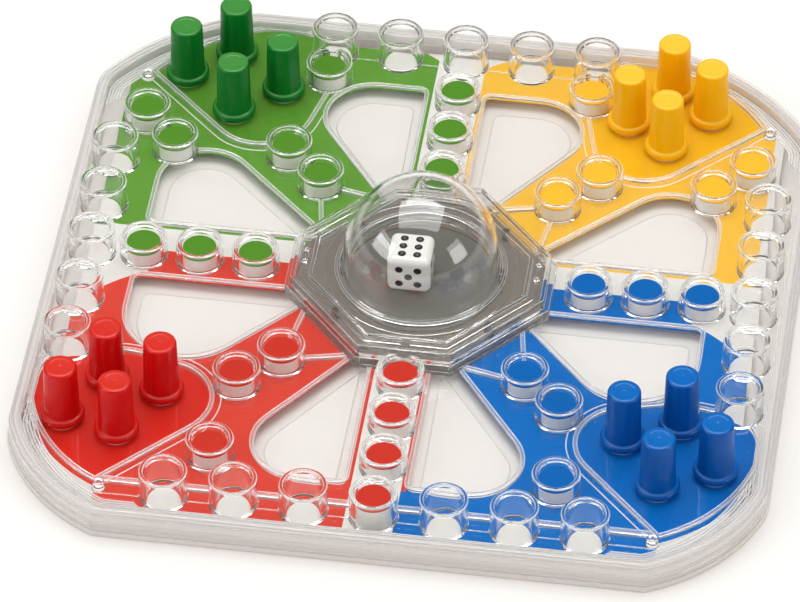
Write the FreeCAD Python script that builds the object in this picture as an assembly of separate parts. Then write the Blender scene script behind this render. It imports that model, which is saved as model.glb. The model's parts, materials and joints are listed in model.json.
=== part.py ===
import FreeCAD, Part
import math
import os
from FreeCAD import Vector

# Pop up dice board game: a clear case with ring sockets for sixteen pegs and a press-down dice dome
# in the middle. Origin at the centre of the underside, +X to the players' right, +Y away, +Z up.
# Millimetres throughout. Corners are named by their colour: green back left, yellow back right,
# red front left, blue front right.

# ---------------------------------------------------------------- driving dimensions: case
case_half_x = 137.0          # outside of the foot flange, centre to side
case_half_y = 136.0          # outside of the foot flange, centre to front or back
front_crease_x = 98.0        # where the straight front edge breaks into the bowed corner
back_crease_x = 82.0         # the same at the back
corner_side_y = 92.0         # where a bowed corner would meet the straight side
corner_bow = 6.5             # how far a corner bows out of its straight line
corner_round = 20.0          # rounding between a bowed corner and a side
rim_top = 12.0               # top of the raised rim
foot_height = 2.0            # foot flange of the tray
tray_floor = 1.6
tray_wall = 1.8
skirt_inset = 0.8            # the lid's skirt stands back from the foot flange
skirt_wall = 1.6
skirt_step = 0.6             # small shoulder round the skirt
skirt_step_height = 9.2
rim_width = 4.6              # rim, from the skirt's outside to its inner face
rim_wall = 1.4
rim_bead_width = 1.1         # bead along the rim's outer edge
rim_bead_height = 0.8
fit_gap = 0.3                # clearance between pieces that drop into each other

# ---------------------------------------------------------------- deck and cards
deck_top = 7.5
deck_thickness = 2.0
card_thickness = 0.5
card_side_gap = 13.0         # straight outer edges of the printed cards, in from the foot flange
card_end_gap = 9.2
card_inset = 8.0             # the cards keep this far inside the case outline
bead_width = 1.8             # raised bead round windows and homes
window_bead_height = 0.9
home_bead_height = 1.2
rail_width = 2.6             # ribs that tie the front sockets together
rail_height = 1.5
rail_offset = 4.3            # rail behind the middles of the front sockets
guide_line_width = 0.7       # fine raised line across the outer rows
guide_line_height = 0.3
guide_line_front_offset = 2.0
guide_line_back_offset = 3.0
vee_width = 1.6              # short ribs between the innermost sockets and the dice housing
vee_spread = 34.0            # angle of each rib off the diagonal
vee_length = 35.0            # from the socket's middle, cut off at the housing

# ---------------------------------------------------------------- sockets
socket_bore = 13.0
socket_outside = 17.4
socket_lip = 0.6             # bevel round the outside of a socket's mouth
tall_height = 12.5           # above the deck
short_height = 8.8
cup_depth = 2.7              # a short socket is a solid post with this shallow cup in its top
cup_ledge = 0.2              # ledge round the coloured disc in the floor of a cup
front_row_count = 7
back_row_count = 5
side_column_count = 5
front_row_end = 62.0         # middle of a row's end socket, in from the case's side
back_row_end = 87.0
side_column_end = 86.0       # the same from the case's front and back
front_row_gap = 1.9          # outer rows to the inside of the rim
back_row_gap = 0.1
side_column_gap = 0.9
entry_spacing = 15.6         # a short socket that grows out of a tall one's wall
side_entry_inner = (36.0, 77.0)      # in from the case's side and back
side_entry_outer = (23.0, 62.0)
front_entry = (75.0, 38.0)           # in from the case's side and front
diagonal_outer = (58.3, 61.0)
diagonal_inner = (44.3, 47.0)
side_lane_y = 1.5
side_lane_offset = 19.0      # first socket of a lane, in from the outer column or row
side_lane_step = 20.8
front_lane_offset = 25.0
front_lane_step = 20.8
back_lane_offset = 22.8
back_lane_step = 21.8
lane_count = 3

# ---------------------------------------------------------------- pegs
peg_height = 24.5            # above the surface it stands on
peg_body_low = 13.0
peg_body_top = 12.0
peg_top_round = 1.2
peg_dish = 7.4               # shallow dish in the top
peg_dish_depth = 0.5
peg_flange = 16.2
peg_flange_height = 3.0
peg_stub_length = 2.4
peg_stub_play = 0.3          # radial, in a socket or home hole
red_home_centre = (35.9, 59.1)       # in from the case's side and from its front or back
blue_home_centre = (37.3, 60.7)
green_home_centre = (52.2, 36.6)
yellow_home_centre = (57.1, 34.6)
red_peg_sides = ((20.6, -4.6), (12.5, 21.8))
blue_peg_sides = ((19.6, 10.4), (14.8, -21.8))
green_peg_sides = ((16.6, 14.1), (20.6, -17.7))
yellow_peg_sides = ((14.6, 19.5), (15.4, -11.9))

# ---------------------------------------------------------------- homes and windows (front or side quarter)
home_side_gap = 1.0                  # the homes are set out from lines this far inside the case's sides
home_tip = (35.6, 20.0)              # sharp corner of a home, in from those lines and the front
home_inner = (87.8, 74.2)            # virtual corner, rounded
home_inner_round = 19.0
home_back = (37.0, 86.8)             # shallow corner of the back edge
home_back_round = 25.0
home_outer = 82.5
home_outer_round = 14.0
home_shoulder = 59.0
front_home_bow = 5.4
back_home_bow = 4.4
window_corner_round = 3.0
window_far_round = 18.0
window_end_gap = 31.0                # outer edges of the windows to the case's front and back
window_side_gap = 32.0               # and to its sides
window_slope_start = (19.0, 41.0)    # on the slanting edge beside a front or back lane, nearest the middle
window_slope_end = (73.0, 34.0)      # its other end, in from the case's side and front or back
side_window_slope_start = (44.0, 25.5)
side_window_slope_end = (33.0, 52.5)
front_side_window_slope_start = (46.3, 22.3)
front_side_window_slope_end = (65.2, 85.8)
front_side_window_round = 23.0
lane_strip_left = -10.4              # front and back lanes
lane_strip_right = 7.5
lane_line_width = 1.8                # coloured line beside a lane
side_strip_front = 5.4               # side lanes
side_strip_back = 17.2
side_strip_wide_front = -1.2         # the strip is wider at the column of tall sockets
side_strip_wide_offset = 14.0
side_window_back_edge = 18.6
side_window_front_edge = 9.3
floor_disc = 12.4            # coloured discs in the cups and white spots under the open sockets
floor_disc_thickness = 0.6
floor_disc_play = 0.1

# ---------------------------------------------------------------- dice housing
housing_half_x = 48.6        # skirt
housing_half_y = 46.6
housing_flat_x = 17.5        # half length of the front and back flats
housing_flat_y = 12.5        # half length of the side flats
housing_step = 2.0           # upper part stands back by this much
housing_step_height = 5.2    # above the deck
housing_height = 9.2         # above the deck
housing_wall = 1.6
housing_channel_depth = 1.3  # sunk track between the outer and inner beads
housing_channel_width = 5.0
housing_bead = 1.5
housing_bridge_width = 3.4   # tab across the track, at the front
housing_bridge_drop = 0.4    # it stays this far below the beads
well_ledge = 10.6            # the deck's opening is this much smaller than the housing all round
plate_thickness = 2.5
plate_opening = 50.0
sheet_diameter = 57.0
sheet_thickness = 0.5

# ---------------------------------------------------------------- dome, ring, spring and die
dome_outside = 56.4
dome_wall = 1.4
dome_centre_height = 18.0    # centre of the ball part above the deck
dome_taper = 0.3
dome_flange = 60.4
dome_flange_thickness = 1.5
dome_travel = 3.5            # the flange comes down this far, to just above the plate
ring_outside = 63.2
ring_height = 2.1
ring_lip = 0.8
leg_width = 8.0
leg_thickness = 1.4
leg_radius = 29.4            # middle of a leg
spring_width = 10.0
spring_thickness = 0.6
spring_seat_height = 0.4     # the spring's middle sits this far above the tray floor
rivet_diameter = 4.0
rivet_head = 7.0
rivet_head_height = 0.9
rivet_pad = 9.0              # pad on the tray's floor that the spring is riveted to
rivet_foot = 0.6             # bottom of the rivet's hole above the underside
die_side = 16.0
die_round = 2.6
die_x = -3.7
die_y = -0.3
die_turn = 5.0               # degrees
pip_diameter = 2.7
pip_depth = 0.25
pip_spacing = 4.4

# ---------------------------------------------------------------- small posts
post_diameter = 4.4
post_rise = 1.6              # above the deck
front_post = (38.3, 17.8)    # in from the case's side and front
back_post = (18.8, 37.3)     # in from the case's side and back
screw_shank = 2.6
screw_head = 5.0
screw_head_height = 1.6
screw_inset_x = 20.6         # middle of a screw, in from the housing's skirt
screw_inset_y = 21.6

# ---------------------------------------------------------------- worked out from the above
deck_bottom = deck_top - deck_thickness
card_bottom = deck_bottom - card_thickness
socket_r = socket_outside / 2
bore_r = socket_bore / 2
well_half_x = housing_half_x - well_ledge
well_half_y = housing_half_y - well_ledge
plate_top = deck_top + plate_thickness
flange_bottom = plate_top + dome_travel + fit_gap
flange_top = flange_bottom + dome_flange_thickness
ring_bottom = flange_top
dome_centre = deck_top + dome_centre_height
spring_bottom = tray_floor + spring_seat_height
spring_top = deck_top - fit_gap
rim_inside = skirt_inset + rim_width
front_row_y = -(case_half_y - rim_inside - front_row_gap - socket_r)
back_row_y = case_half_y - rim_inside - back_row_gap - socket_r
side_column_x = case_half_x - rim_inside - side_column_gap - socket_r
card_side_x = case_half_x - card_side_gap
card_end_y = case_half_y - card_end_gap
side_strip_wide_x = side_column_x - side_strip_wide_offset
window_reach_x = case_half_x - window_side_gap
window_reach_y = case_half_y - window_end_gap
colours = ("green", "yellow", "red", "blue")
side_sign = {"green": (-1, 1), "yellow": (1, 1), "red": (-1, -1), "blue": (1, -1)}


# ---------------------------------------------------------------- plan shapes
def polar(centre, radius, angle):
    return Vector(centre[0] + radius * math.cos(angle), centre[1] + radius * math.sin(angle), 0)


def arc_through(centre, radius, start, end):
    """Arc on a circle, from one point to another the short way round."""
    a0 = math.atan2(start.y - centre[1], start.x - centre[0])
    a1 = math.atan2(end.y - centre[1], end.x - centre[0])
    turn = (a1 - a0 + math.pi) % (2 * math.pi) - math.pi
    return Part.Arc(start, polar(centre, radius, a0 + turn / 2), end).toShape()


def corner_points(crease_x, inset):
    """One bowed corner in the quadrant where x and y are positive, moved in by inset.

    Returns the crease, the end of the bow, the end of the rounding and the two circles."""
    chord_x = case_half_x - crease_x
    chord_y = case_half_y - corner_side_y
    chord = math.hypot(chord_x, chord_y)
    bow_r = (chord * chord / 4 + corner_bow * corner_bow) / (2 * corner_bow)
    mid = ((crease_x + case_half_x) / 2, (case_half_y + corner_side_y) / 2)
    back = bow_r - corner_bow
    centre = (mid[0] - back * chord_y / chord, mid[1] - back * chord_x / chord)
    round_x = case_half_x - corner_round
    round_y = centre[1] + math.sqrt((bow_r - corner_round) ** 2 - (round_x - centre[0]) ** 2)
    small = (round_x, round_y)
    r = bow_r - inset
    top = case_half_y - inset
    crease = Vector(centre[0] + math.sqrt(r * r - (top - centre[1]) ** 2), top, 0)
    angle = math.atan2(round_y - centre[1], round_x - centre[0])
    bow_end = polar(centre, r, angle)
    side = Vector(case_half_x - inset, round_y, 0)
    return crease, bow_end, side, centre, r, small, corner_round - inset


def mirrored(point, sx, sy):
    return Vector(point[0] * sx, point[1] * sy, 0)


def corner_edges(sx, sy, inset):
    crease_x = back_crease_x if sy > 0 else front_crease_x
    crease, bow_end, side, centre, r, small, small_r = corner_points(crease_x, inset)
    bow_centre = (centre[0] * sx, centre[1] * sy)
    round_centre = (small[0] * sx, small[1] * sy)
    bow = arc_through(bow_centre, r, mirrored(crease, sx, sy), mirrored(bow_end, sx, sy))
    rounding = arc_through(round_centre, small_r, mirrored(bow_end, sx, sy), mirrored(side, sx, sy))
    return mirrored(crease, sx, sy), mirrored(side, sx, sy), [bow, rounding]


def face_of(edges):
    return Part.Face(Part.Wire(Part.__sortEdges__(edges)))


def case_face(inset):
    ends = {}
    edges = []
    for colour in colours:
        sx, sy = side_sign[colour]
        crease, side, corner = corner_edges(sx, sy, inset)
        ends[colour] = (crease, side)
        edges += corner
    for first, second in (("green", "yellow"), ("red", "blue")):
        edges.append(Part.LineSegment(ends[first][0], ends[second][0]).toShape())
    for first, second in (("green", "red"), ("yellow", "blue")):
        edges.append(Part.LineSegment(ends[first][1], ends[second][1]).toShape())
    return face_of(edges)


def prism(face, bottom, top):
    solid = face.extrude(Vector(0, 0, top - bottom))
    solid.translate(Vector(0, 0, bottom))
    return solid


def case_prism(inset, bottom, top):
    return prism(case_face(inset), bottom, top)


def rounded_polygon(points, radii):
    """Closed face through points, each corner rounded by its radius (0 keeps it sharp)."""
    count = len(points)
    edges = []
    joints = []
    for i in range(count):
        here = Vector(points[i][0], points[i][1], 0)
        before = Vector(points[i - 1][0], points[i - 1][1], 0)
        after = Vector(points[(i + 1) % count][0], points[(i + 1) % count][1], 0)
        to_before = (before - here).normalize()
        to_after = (after - here).normalize()
        half = to_before.getAngle(to_after) / 2
        if radii[i] == 0:
            joints.append((here, here))
            continue
        reach = radii[i] / math.tan(half)
        start = here + to_before * reach
        end = here + to_after * reach
        bisector = (to_before + to_after).normalize()
        middle = here + bisector * (radii[i] / math.sin(half) - radii[i])
        edges.append(Part.Arc(start, middle, end).toShape())
        joints.append((start, end))
    for i in range(count):
        start = joints[i][1]
        end = joints[(i + 1) % count][0]
        if (end - start).Length > 1e-6:
            edges.append(Part.LineSegment(start, end).toShape())
    return face_of(edges)


def octagon_face(half_x, half_y):
    fx = housing_flat_x * half_y / housing_half_y
    fy = housing_flat_y * half_x / housing_half_x
    points = [(half_x, fy), (fx, half_y), (-fx, half_y), (-half_x, fy),
              (-half_x, -fy), (-fx, -half_y), (fx, -half_y), (half_x, -fy)]
    return rounded_polygon(points, [0] * len(points))


def octagon(inset, bottom, top):
    return prism(octagon_face(housing_half_x - inset, housing_half_y - inset), bottom, top)


def cylinder(radius, bottom, top, x=0.0, y=0.0):
    return Part.makeCylinder(radius, top - bottom, Vector(x, y, bottom))


def box(x0, x1, y0, y1, z0, z1):
    return Part.makeBox(x1 - x0, y1 - y0, z1 - z0, Vector(x0, y0, z0))


def rib(start, end, width, bottom, top):
    """Straight rib between two plan points."""
    length = math.hypot(end[0] - start[0], end[1] - start[1])
    solid = Part.makeBox(length, width, top - bottom, Vector(0, -width / 2, 0))
    angle = math.degrees(math.atan2(end[1] - start[1], end[0] - start[0]))
    solid.rotate(Vector(0, 0, 0), Vector(0, 0, 1), angle)
    solid.translate(Vector(start[0], start[1], bottom))
    return solid


def grown(face, amount):
    return face.makeOffset2D(amount, 2)


def bead_around(face, width, height):
    """Raised bead centred on a face's outline, standing on the deck."""
    outer = prism(grown(face, width / 2), deck_top, deck_top + height)
    inner = prism(grown(face, -width / 2), deck_top, deck_top + height)
    return outer.cut(inner)


# ---------------------------------------------------------------- homes and windows in plan
def home_face(colour):
    """Pick-shaped home. The back ones are the front ones mirrored over the diagonal."""
    sx, sy = side_sign[colour]
    insets = [home_tip, home_inner, home_back, (rim_inside, home_outer), (rim_inside, home_shoulder)]
    if sy > 0:
        insets = [(y, x) for x, y in insets]
    line_x = case_half_x - home_side_gap
    points = [(sx * (line_x - x), sy * (case_half_y - y)) for x, y in insets]
    core = rounded_polygon(points, [0, home_inner_round, home_back_round, home_outer_round, 0])
    tip = Vector(points[0][0], points[0][1], 0)
    shoulder = Vector(points[-1][0], points[-1][1], 0)
    middle = (tip + shoulder) / 2
    outward = Vector(middle.x - points[1][0], middle.y - points[1][1], 0).normalize()
    bow_height = back_home_bow if sy > 0 else front_home_bow
    bow = Part.Arc(tip, middle + outward * bow_height, shoulder).toShape()
    edges = [e for e in core.OuterWire.Edges if not joins(e, tip, shoulder)]
    return face_of(edges + [bow])


def joins(edge, first, second):
    ends = [v.Point for v in edge.Vertexes]
    return min((p - first).Length for p in ends) < 1e-6 and min((p - second).Length for p in ends) < 1e-6


def from_case_corner(colour, inset):
    """Plan point given by its distances in from the case's side and from its front or back."""
    sx, sy = side_sign[colour]
    return sx * (case_half_x - inset[0]), sy * (case_half_y - inset[1])


def beside_side_lane(edge, start, end):
    """Corners of the window between a side lane, the outer column and a slope through two points."""
    slope = (end[1] - start[1]) / (end[0] - start[0])
    near = (start[0] + (edge - start[1]) / slope, edge)
    far = (window_reach_x, start[1] + (window_reach_x - start[0]) * slope)
    return [near, (window_reach_x, edge), far]


def beside_end_lane(edge, start, end):
    """The same beside the front or back lane."""
    slope = (end[1] - start[1]) / (end[0] - start[0])
    near = (edge, start[1] + (edge - start[0]) * slope)
    far = (start[0] + (window_reach_y - start[1]) / slope, window_reach_y)
    return [near, (edge, window_reach_y), far]


def window_face(colour, turned):
    sx, sy = side_sign[colour]
    far_round = window_far_round
    if turned and sy > 0:
        end = from_case_corner("yellow", side_window_slope_end)
        points = beside_side_lane(side_window_back_edge, side_window_slope_start, end)
    elif turned:
        end = from_case_corner("yellow", front_side_window_slope_end)
        points = beside_side_lane(side_window_front_edge, front_side_window_slope_start, end)
        far_round = front_side_window_round
    else:
        end = from_case_corner("yellow", window_slope_end)
        line = lane_strip_right if sx > 0 else -lane_strip_left
        points = beside_end_lane(line + lane_line_width, window_slope_start, end)
    points = [(x * sx, y * sy) for x, y in points]
    return rounded_polygon(points, [0, window_corner_round, far_round])


def all_windows():
    return [window_face(colour, turned) for colour in colours for turned in (False, True)]


# ---------------------------------------------------------------- socket places
def spread(count, half_length):
    """Evenly spaced from one end of a row or column to the other."""
    return [half_length * (2 * i / (count - 1) - 1) for i in range(count)]


def row(count, end_gap, y):
    return [(x, y) for x in spread(count, case_half_x - end_gap)]


def column(end_gap, x):
    return [(x, y) for y in spread(side_column_count, case_half_y - end_gap)]


def lane_front():
    return [(0.0, front_row_y + front_lane_offset + i * front_lane_step) for i in range(lane_count)]


def lane_back():
    return [(0.0, back_row_y - back_lane_offset - i * back_lane_step) for i in range(lane_count)]


def lane_side(sign):
    first = side_column_x - side_lane_offset
    return [(sign * (first - i * side_lane_step), side_lane_y) for i in range(lane_count)]


def entries(colour):
    """Short sockets where a colour joins the track. The last one at the back is beside the row's end."""
    sx, sy = side_sign[colour]
    if sy < 0:
        return [from_case_corner(colour, front_entry)]
    return [from_case_corner(colour, side_entry_inner),
            from_case_corner(colour, side_entry_outer),
            (sx * (case_half_x - back_row_end), back_row_y - entry_spacing)]


def diagonals(colour):
    sx, sy = side_sign[colour]
    return [(sx * x, sy * y) for x, y in (diagonal_outer, diagonal_inner)]


tall_groups = {
    "sockets_front_row": row(front_row_count, front_row_end, front_row_y),
    "sockets_back_row": row(back_row_count, back_row_end, back_row_y),
    "sockets_left_column": column(side_column_end, -side_column_x),
    "sockets_right_column": column(side_column_end, side_column_x),
}
short_groups = {
    "sockets_lane_front": lane_front(),
    "sockets_lane_back": lane_back(),
    "sockets_lane_left": lane_side(-1),
    "sockets_lane_right": lane_side(1),
}
for name in colours:
    short_groups["sockets_entry_" + name] = entries(name)
    short_groups["sockets_diagonal_" + name] = diagonals(name)
tall_places = [p for group in tall_groups.values() for p in group]
all_sockets = tall_places + [p for group in short_groups.values() for p in group]
middle_front_place = tall_groups["sockets_front_row"][front_row_count // 2]


def home_pegs(colour):
    inset = {"red": red_home_centre, "blue": blue_home_centre,
             "green": green_home_centre, "yellow": yellow_home_centre}[colour]
    sides = {"red": red_peg_sides, "blue": blue_peg_sides,
             "green": green_peg_sides, "yellow": yellow_peg_sides}[colour]
    centre = from_case_corner(colour, inset)
    places = []
    for u in (-0.5, 0.5):
        for v in (-0.5, 0.5):
            places.append((centre[0] + u * sides[0][0] + v * sides[1][0],
                           centre[1] + u * sides[0][1] + v * sides[1][1]))
    return places


all_home_places = [p for colour in colours for p in home_pegs(colour)]
post_places = [from_case_corner(colour, back_post if side_sign[colour][1] > 0 else front_post)
               for colour in colours]
screw_x = housing_half_x - screw_inset_x
screw_y = housing_half_y - screw_inset_y
screw_places = [(sx * screw_x, sy * screw_y) for sx in (-1, 1) for sy in (-1, 1)]


# ---------------------------------------------------------------- case
def base_tray():
    inner_inset = skirt_inset + skirt_wall + fit_gap
    tray = case_prism(0, 0, foot_height)
    tray = tray.fuse(case_prism(inner_inset, foot_height, deck_bottom))
    tray = tray.cut(case_prism(inner_inset + tray_wall, tray_floor, deck_bottom))
    for x, y in post_places:
        tray = tray.fuse(cylinder(post_diameter / 2, tray_floor, deck_bottom, x, y))
    tray = tray.fuse(cylinder(rivet_pad / 2, tray_floor, spring_bottom))
    return tray.cut(cylinder(rivet_diameter / 2, rivet_foot, spring_bottom)).removeSplitter()


def top_deck():
    outside = case_prism(skirt_inset, foot_height, skirt_step_height)
    outside = outside.fuse(case_prism(skirt_inset + skirt_step, skirt_step_height, rim_top))
    rim_inner = skirt_inset + rim_width
    deck = outside.cut(case_prism(rim_inner, deck_top, rim_top))
    deck = deck.cut(case_prism(skirt_inset + skirt_wall, foot_height, deck_bottom))
    track = case_prism(skirt_inset + skirt_step + rim_bead_width, rim_top - rim_bead_height, rim_top)
    deck = deck.cut(track)
    hollow_top = rim_top - rim_bead_height - rim_wall
    hollow = case_prism(skirt_inset + skirt_step + skirt_wall, deck_bottom, hollow_top)
    deck = deck.cut(hollow.cut(case_prism(rim_inner - rim_wall, deck_bottom, rim_top)))
    deck = deck.cut(prism(octagon_face(well_half_x, well_half_y), deck_bottom, deck_top))
    holes = [cylinder(bore_r, deck_bottom, deck_top, x, y) for x, y in all_home_places]
    holes += [cylinder(screw_shank / 2 + fit_gap, deck_bottom, deck_top, x, y) for x, y in screw_places]
    deck = deck.cut(Part.makeCompound(holes))
    posts = [cylinder(post_diameter / 2, deck_top, deck_top + post_rise, x, y) for x, y in post_places]
    return deck.fuse(posts).removeSplitter()


def clear_of_sockets(solid, top):
    tubes = [cylinder(socket_r, deck_top, top, x, y) for x, y in all_sockets]
    posts = [cylinder(post_diameter / 2, deck_top, top, x, y) for x, y in post_places]
    return solid.cut(Part.makeCompound(tubes)).cut(Part.makeCompound(posts))


def window_beads():
    keep_out = octagon(0, deck_top, deck_top + window_bead_height)
    beads = []
    for face in all_windows():
        bead = bead_around(face, bead_width, window_bead_height).cut(keep_out)
        beads.append(clear_of_sockets(bead, deck_top + window_bead_height))
    return Part.makeCompound(beads)


def home_beads():
    top = deck_top + home_bead_height
    inside_rim = case_prism(skirt_inset + rim_width, deck_top, top)
    beads = [bead_around(home_face(c), bead_width, home_bead_height).common(inside_rim) for c in colours]
    return Part.makeCompound([clear_of_sockets(bead, top) for bead in beads])


def deck_ribs():
    ribs = []
    end_x = case_half_x - front_post[0]
    rail_y = front_row_y + rail_offset
    ribs.append(rib((-end_x, rail_y), (end_x, rail_y), rail_width, deck_top, deck_top + rail_height))
    line_top = deck_top + guide_line_height
    for y in (front_row_y - guide_line_front_offset, back_row_y - guide_line_back_offset):
        places = [p for p in tall_places if abs(p[1] - y) < socket_r]
        reach = places[-1][0] + places[-1][0] - places[-2][0]
        ribs.append(rib((-reach, y), (reach, y), guide_line_width, deck_top, line_top))
    for colour in colours:
        x, y = diagonals(colour)[1]
        inward = math.atan2(-y, -x)
        for side in (-1, 1):
            angle = inward + side * math.radians(vee_spread)
            end = (x + vee_length * math.cos(angle), y + vee_length * math.sin(angle))
            ribs.append(rib((x, y), end, vee_width, deck_top, deck_top + rail_height))
    keep_out = octagon(0, deck_top, deck_top + rail_height)
    for face in all_windows() + [home_face(colour) for colour in colours]:
        keep_out = keep_out.fuse(prism(grown(face, bead_width / 2), deck_top, deck_top + rail_height))
    trimmed = [clear_of_sockets(r.cut(keep_out), deck_top + rail_height) for r in ribs]
    return Part.makeCompound([s for r in trimmed for s in r.Solids if s.Volume > 0.2])


def socket_post(height, x, y):
    top = deck_top + height
    points = [(0, deck_top), (socket_r, deck_top), (socket_r, top - socket_lip),
              (socket_r - socket_lip, top), (0, top)]
    return revolved(points, x, y)


def open_socket(height, x, y):
    """Ring that stands on the deck, open down to it."""
    return socket_post(height, x, y).cut(cylinder(bore_r, deck_top, deck_top + height, x, y))


def cup_socket(height, x, y):
    """Solid post with a shallow cup, and a seat in the cup's floor for a coloured disc."""
    top = deck_top + height
    floor = top - cup_depth
    post = socket_post(height, x, y).cut(cylinder(bore_r, floor, top, x, y))
    return post.cut(cylinder(bore_r - cup_ledge, floor - floor_disc_thickness, floor, x, y))


def tall_group(places):
    """Open sockets, all but the middle one of the front row, which has a cup."""
    sockets = []
    for x, y in places:
        make = cup_socket if (x, y) == middle_front_place else open_socket
        sockets.append(make(tall_height, x, y))
    return Part.makeCompound(sockets)


def short_group(places):
    """Short sockets, cut back where they meet a tall one or the dice housing."""
    housing = octagon(0, deck_top, deck_top + short_height)
    sockets = []
    for x, y in places:
        socket = cup_socket(short_height, x, y).cut(housing)
        for nx, ny in tall_places:
            if math.hypot(nx - x, ny - y) < socket_outside:
                socket = socket.cut(cylinder(socket_r, deck_top, deck_top + tall_height, nx, ny))
        sockets.append(socket)
    return Part.makeCompound(sockets)


# ---------------------------------------------------------------- printed cards
def card_area(colour):
    """Plan of one corner card before its windows are cut out."""
    sx, sy = side_sign[colour]
    if sy > 0:
        low, high = side_strip_back, card_end_y
    else:
        low, high = -card_end_y, side_strip_front
    x0, x1 = (lane_strip_right, card_side_x) if sx > 0 else (-card_side_x, lane_strip_left)
    area = box(x0, x1, low, high, card_bottom, deck_bottom)
    area = area.common(case_prism(card_inset, card_bottom, deck_bottom))
    home = prism(grown(home_face(colour), bead_width), card_bottom, deck_bottom)
    tray_inside = skirt_inset + skirt_wall + fit_gap + tray_wall
    area = area.fuse(home.common(case_prism(tray_inside + fit_gap, card_bottom, deck_bottom)))
    if sy < 0:
        wide0, wide1 = sorted((sx * side_strip_wide_x, sx * case_half_x))
        area = area.cut(box(wide0, wide1, side_strip_wide_front, side_strip_front, card_bottom, deck_bottom))
    return area


def card_holes():
    holes = [prism(face, card_bottom, deck_bottom) for face in all_windows()]
    holes.append(octagon(well_ledge, card_bottom, deck_bottom))
    holes += [cylinder(bore_r, card_bottom, deck_bottom, x, y) for x, y in all_home_places]
    holes += [cylinder(post_diameter / 2 + fit_gap, card_bottom, deck_bottom, x, y) for x, y in post_places]
    holes += [cylinder(screw_shank / 2 + fit_gap, card_bottom, deck_bottom, x, y) for x, y in screw_places]
    return holes


def lane_line():
    """Red line on the blue side of the front lane."""
    return box(lane_strip_right, lane_strip_right + lane_line_width, -window_reach_y, -well_half_y,
               card_bottom, deck_bottom)


def corner_card(colour):
    card = card_area(colour)
    for hole in card_holes():
        card = card.cut(hole)
    if colour == "blue":
        card = card.cut(lane_line())
    pieces = card.removeSplitter().Solids
    if colour == "red":
        pieces.append(lane_line())
    return Part.makeCompound([p for p in pieces if p.Volume > 1.0])


def strip_boxes():
    z = (card_bottom, deck_bottom)
    across = (lane_strip_left, lane_strip_right)
    front = box(across[0], across[1], -card_end_y, -well_half_y, z[0], z[1])
    back = box(across[0], across[1], well_half_y, card_end_y, z[0], z[1])
    sides = []
    for sign in (-1, 1):
        x0, x1 = sorted((sign * well_half_x, sign * side_strip_wide_x))
        strip = box(x0, x1, side_strip_front, side_strip_back, z[0], z[1])
        w0, w1 = sorted((sign * side_strip_wide_x, sign * card_side_x))
        wide = box(w0, w1, side_strip_wide_front, side_strip_back, z[0], z[1])
        sides.append(strip.fuse(wide).removeSplitter())
    return [front, back] + sides


disc_groups = {
    "lane_discs_green": lane_back() + lane_side(-1) + entries("green") + diagonals("green"),
    "lane_discs_yellow": entries("yellow") + diagonals("yellow"),
    "lane_discs_red": lane_front() + [middle_front_place] + entries("red") + diagonals("red"),
    "lane_discs_blue": lane_side(1) + entries("blue") + diagonals("blue"),
}


def floor_discs(places):
    """Coloured discs let into the floors of the cups."""
    housing = octagon(0, deck_top, deck_top + tall_height)
    discs = []
    for x, y in places:
        height = tall_height if (x, y) == middle_front_place else short_height
        top = deck_top + height - cup_depth
        disc = cylinder(floor_disc / 2, top - floor_disc_thickness, top, x, y).cut(housing)
        for nx, ny in tall_places:
            if 0 < math.hypot(nx - x, ny - y) < socket_r + floor_disc / 2:
                disc = disc.cut(cylinder(socket_r, deck_top, deck_top + tall_height, nx, ny))
        discs.append(disc)
    return Part.makeCompound(discs)


def white_spots(extra):
    return [cylinder(floor_disc / 2 + extra, card_bottom, deck_bottom, x, y) for x, y in tall_places]


def lane_strips():
    """White strips under the lanes, and the white spots under the open sockets on the coloured cards."""
    strips = strip_boxes()
    edge = box(-card_side_x, card_side_x, -card_end_y, card_end_y, card_bottom, deck_bottom)
    edge = edge.common(case_prism(card_inset, card_bottom, deck_bottom))
    spots = [spot.common(edge) for spot in white_spots(0)]
    return Part.makeCompound(strips[0].fuse(strips[1:] + spots).removeSplitter().Solids)


def card_without_spots(card):
    return card.cut(Part.makeCompound(white_spots(floor_disc_play)))


# ---------------------------------------------------------------- dice housing and its parts
def popper_frame():
    top = deck_top + housing_height
    frame = octagon(0, deck_top, deck_top + housing_step_height)
    frame = frame.fuse(octagon(housing_step, deck_top, top))
    frame = frame.cut(octagon(housing_step + housing_wall, deck_top, flange_bottom))
    channel_out = housing_step + housing_bead
    channel_in = channel_out + housing_channel_width
    channel = octagon(channel_out, top - housing_channel_depth, top)
    frame = frame.cut(channel.cut(octagon(channel_in, deck_top, top)))
    bridge = box(-housing_bridge_width / 2, housing_bridge_width / 2, channel_out - housing_half_y,
                 channel_in - housing_half_y, top - housing_channel_depth, top - housing_bridge_drop)
    frame = frame.fuse(bridge)
    frame = frame.cut(octagon(channel_in + housing_bead, flange_top, top))
    frame = frame.cut(cylinder(dome_flange / 2 + fit_gap, deck_top, top))
    for x, y in screw_places:
        boss = cylinder(screw_head / 2, plate_top, flange_bottom, x, y)
        frame = frame.fuse(boss)
        frame = frame.cut(cylinder(screw_shank / 2, deck_top, flange_bottom, x, y))
    return frame.removeSplitter()


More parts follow.
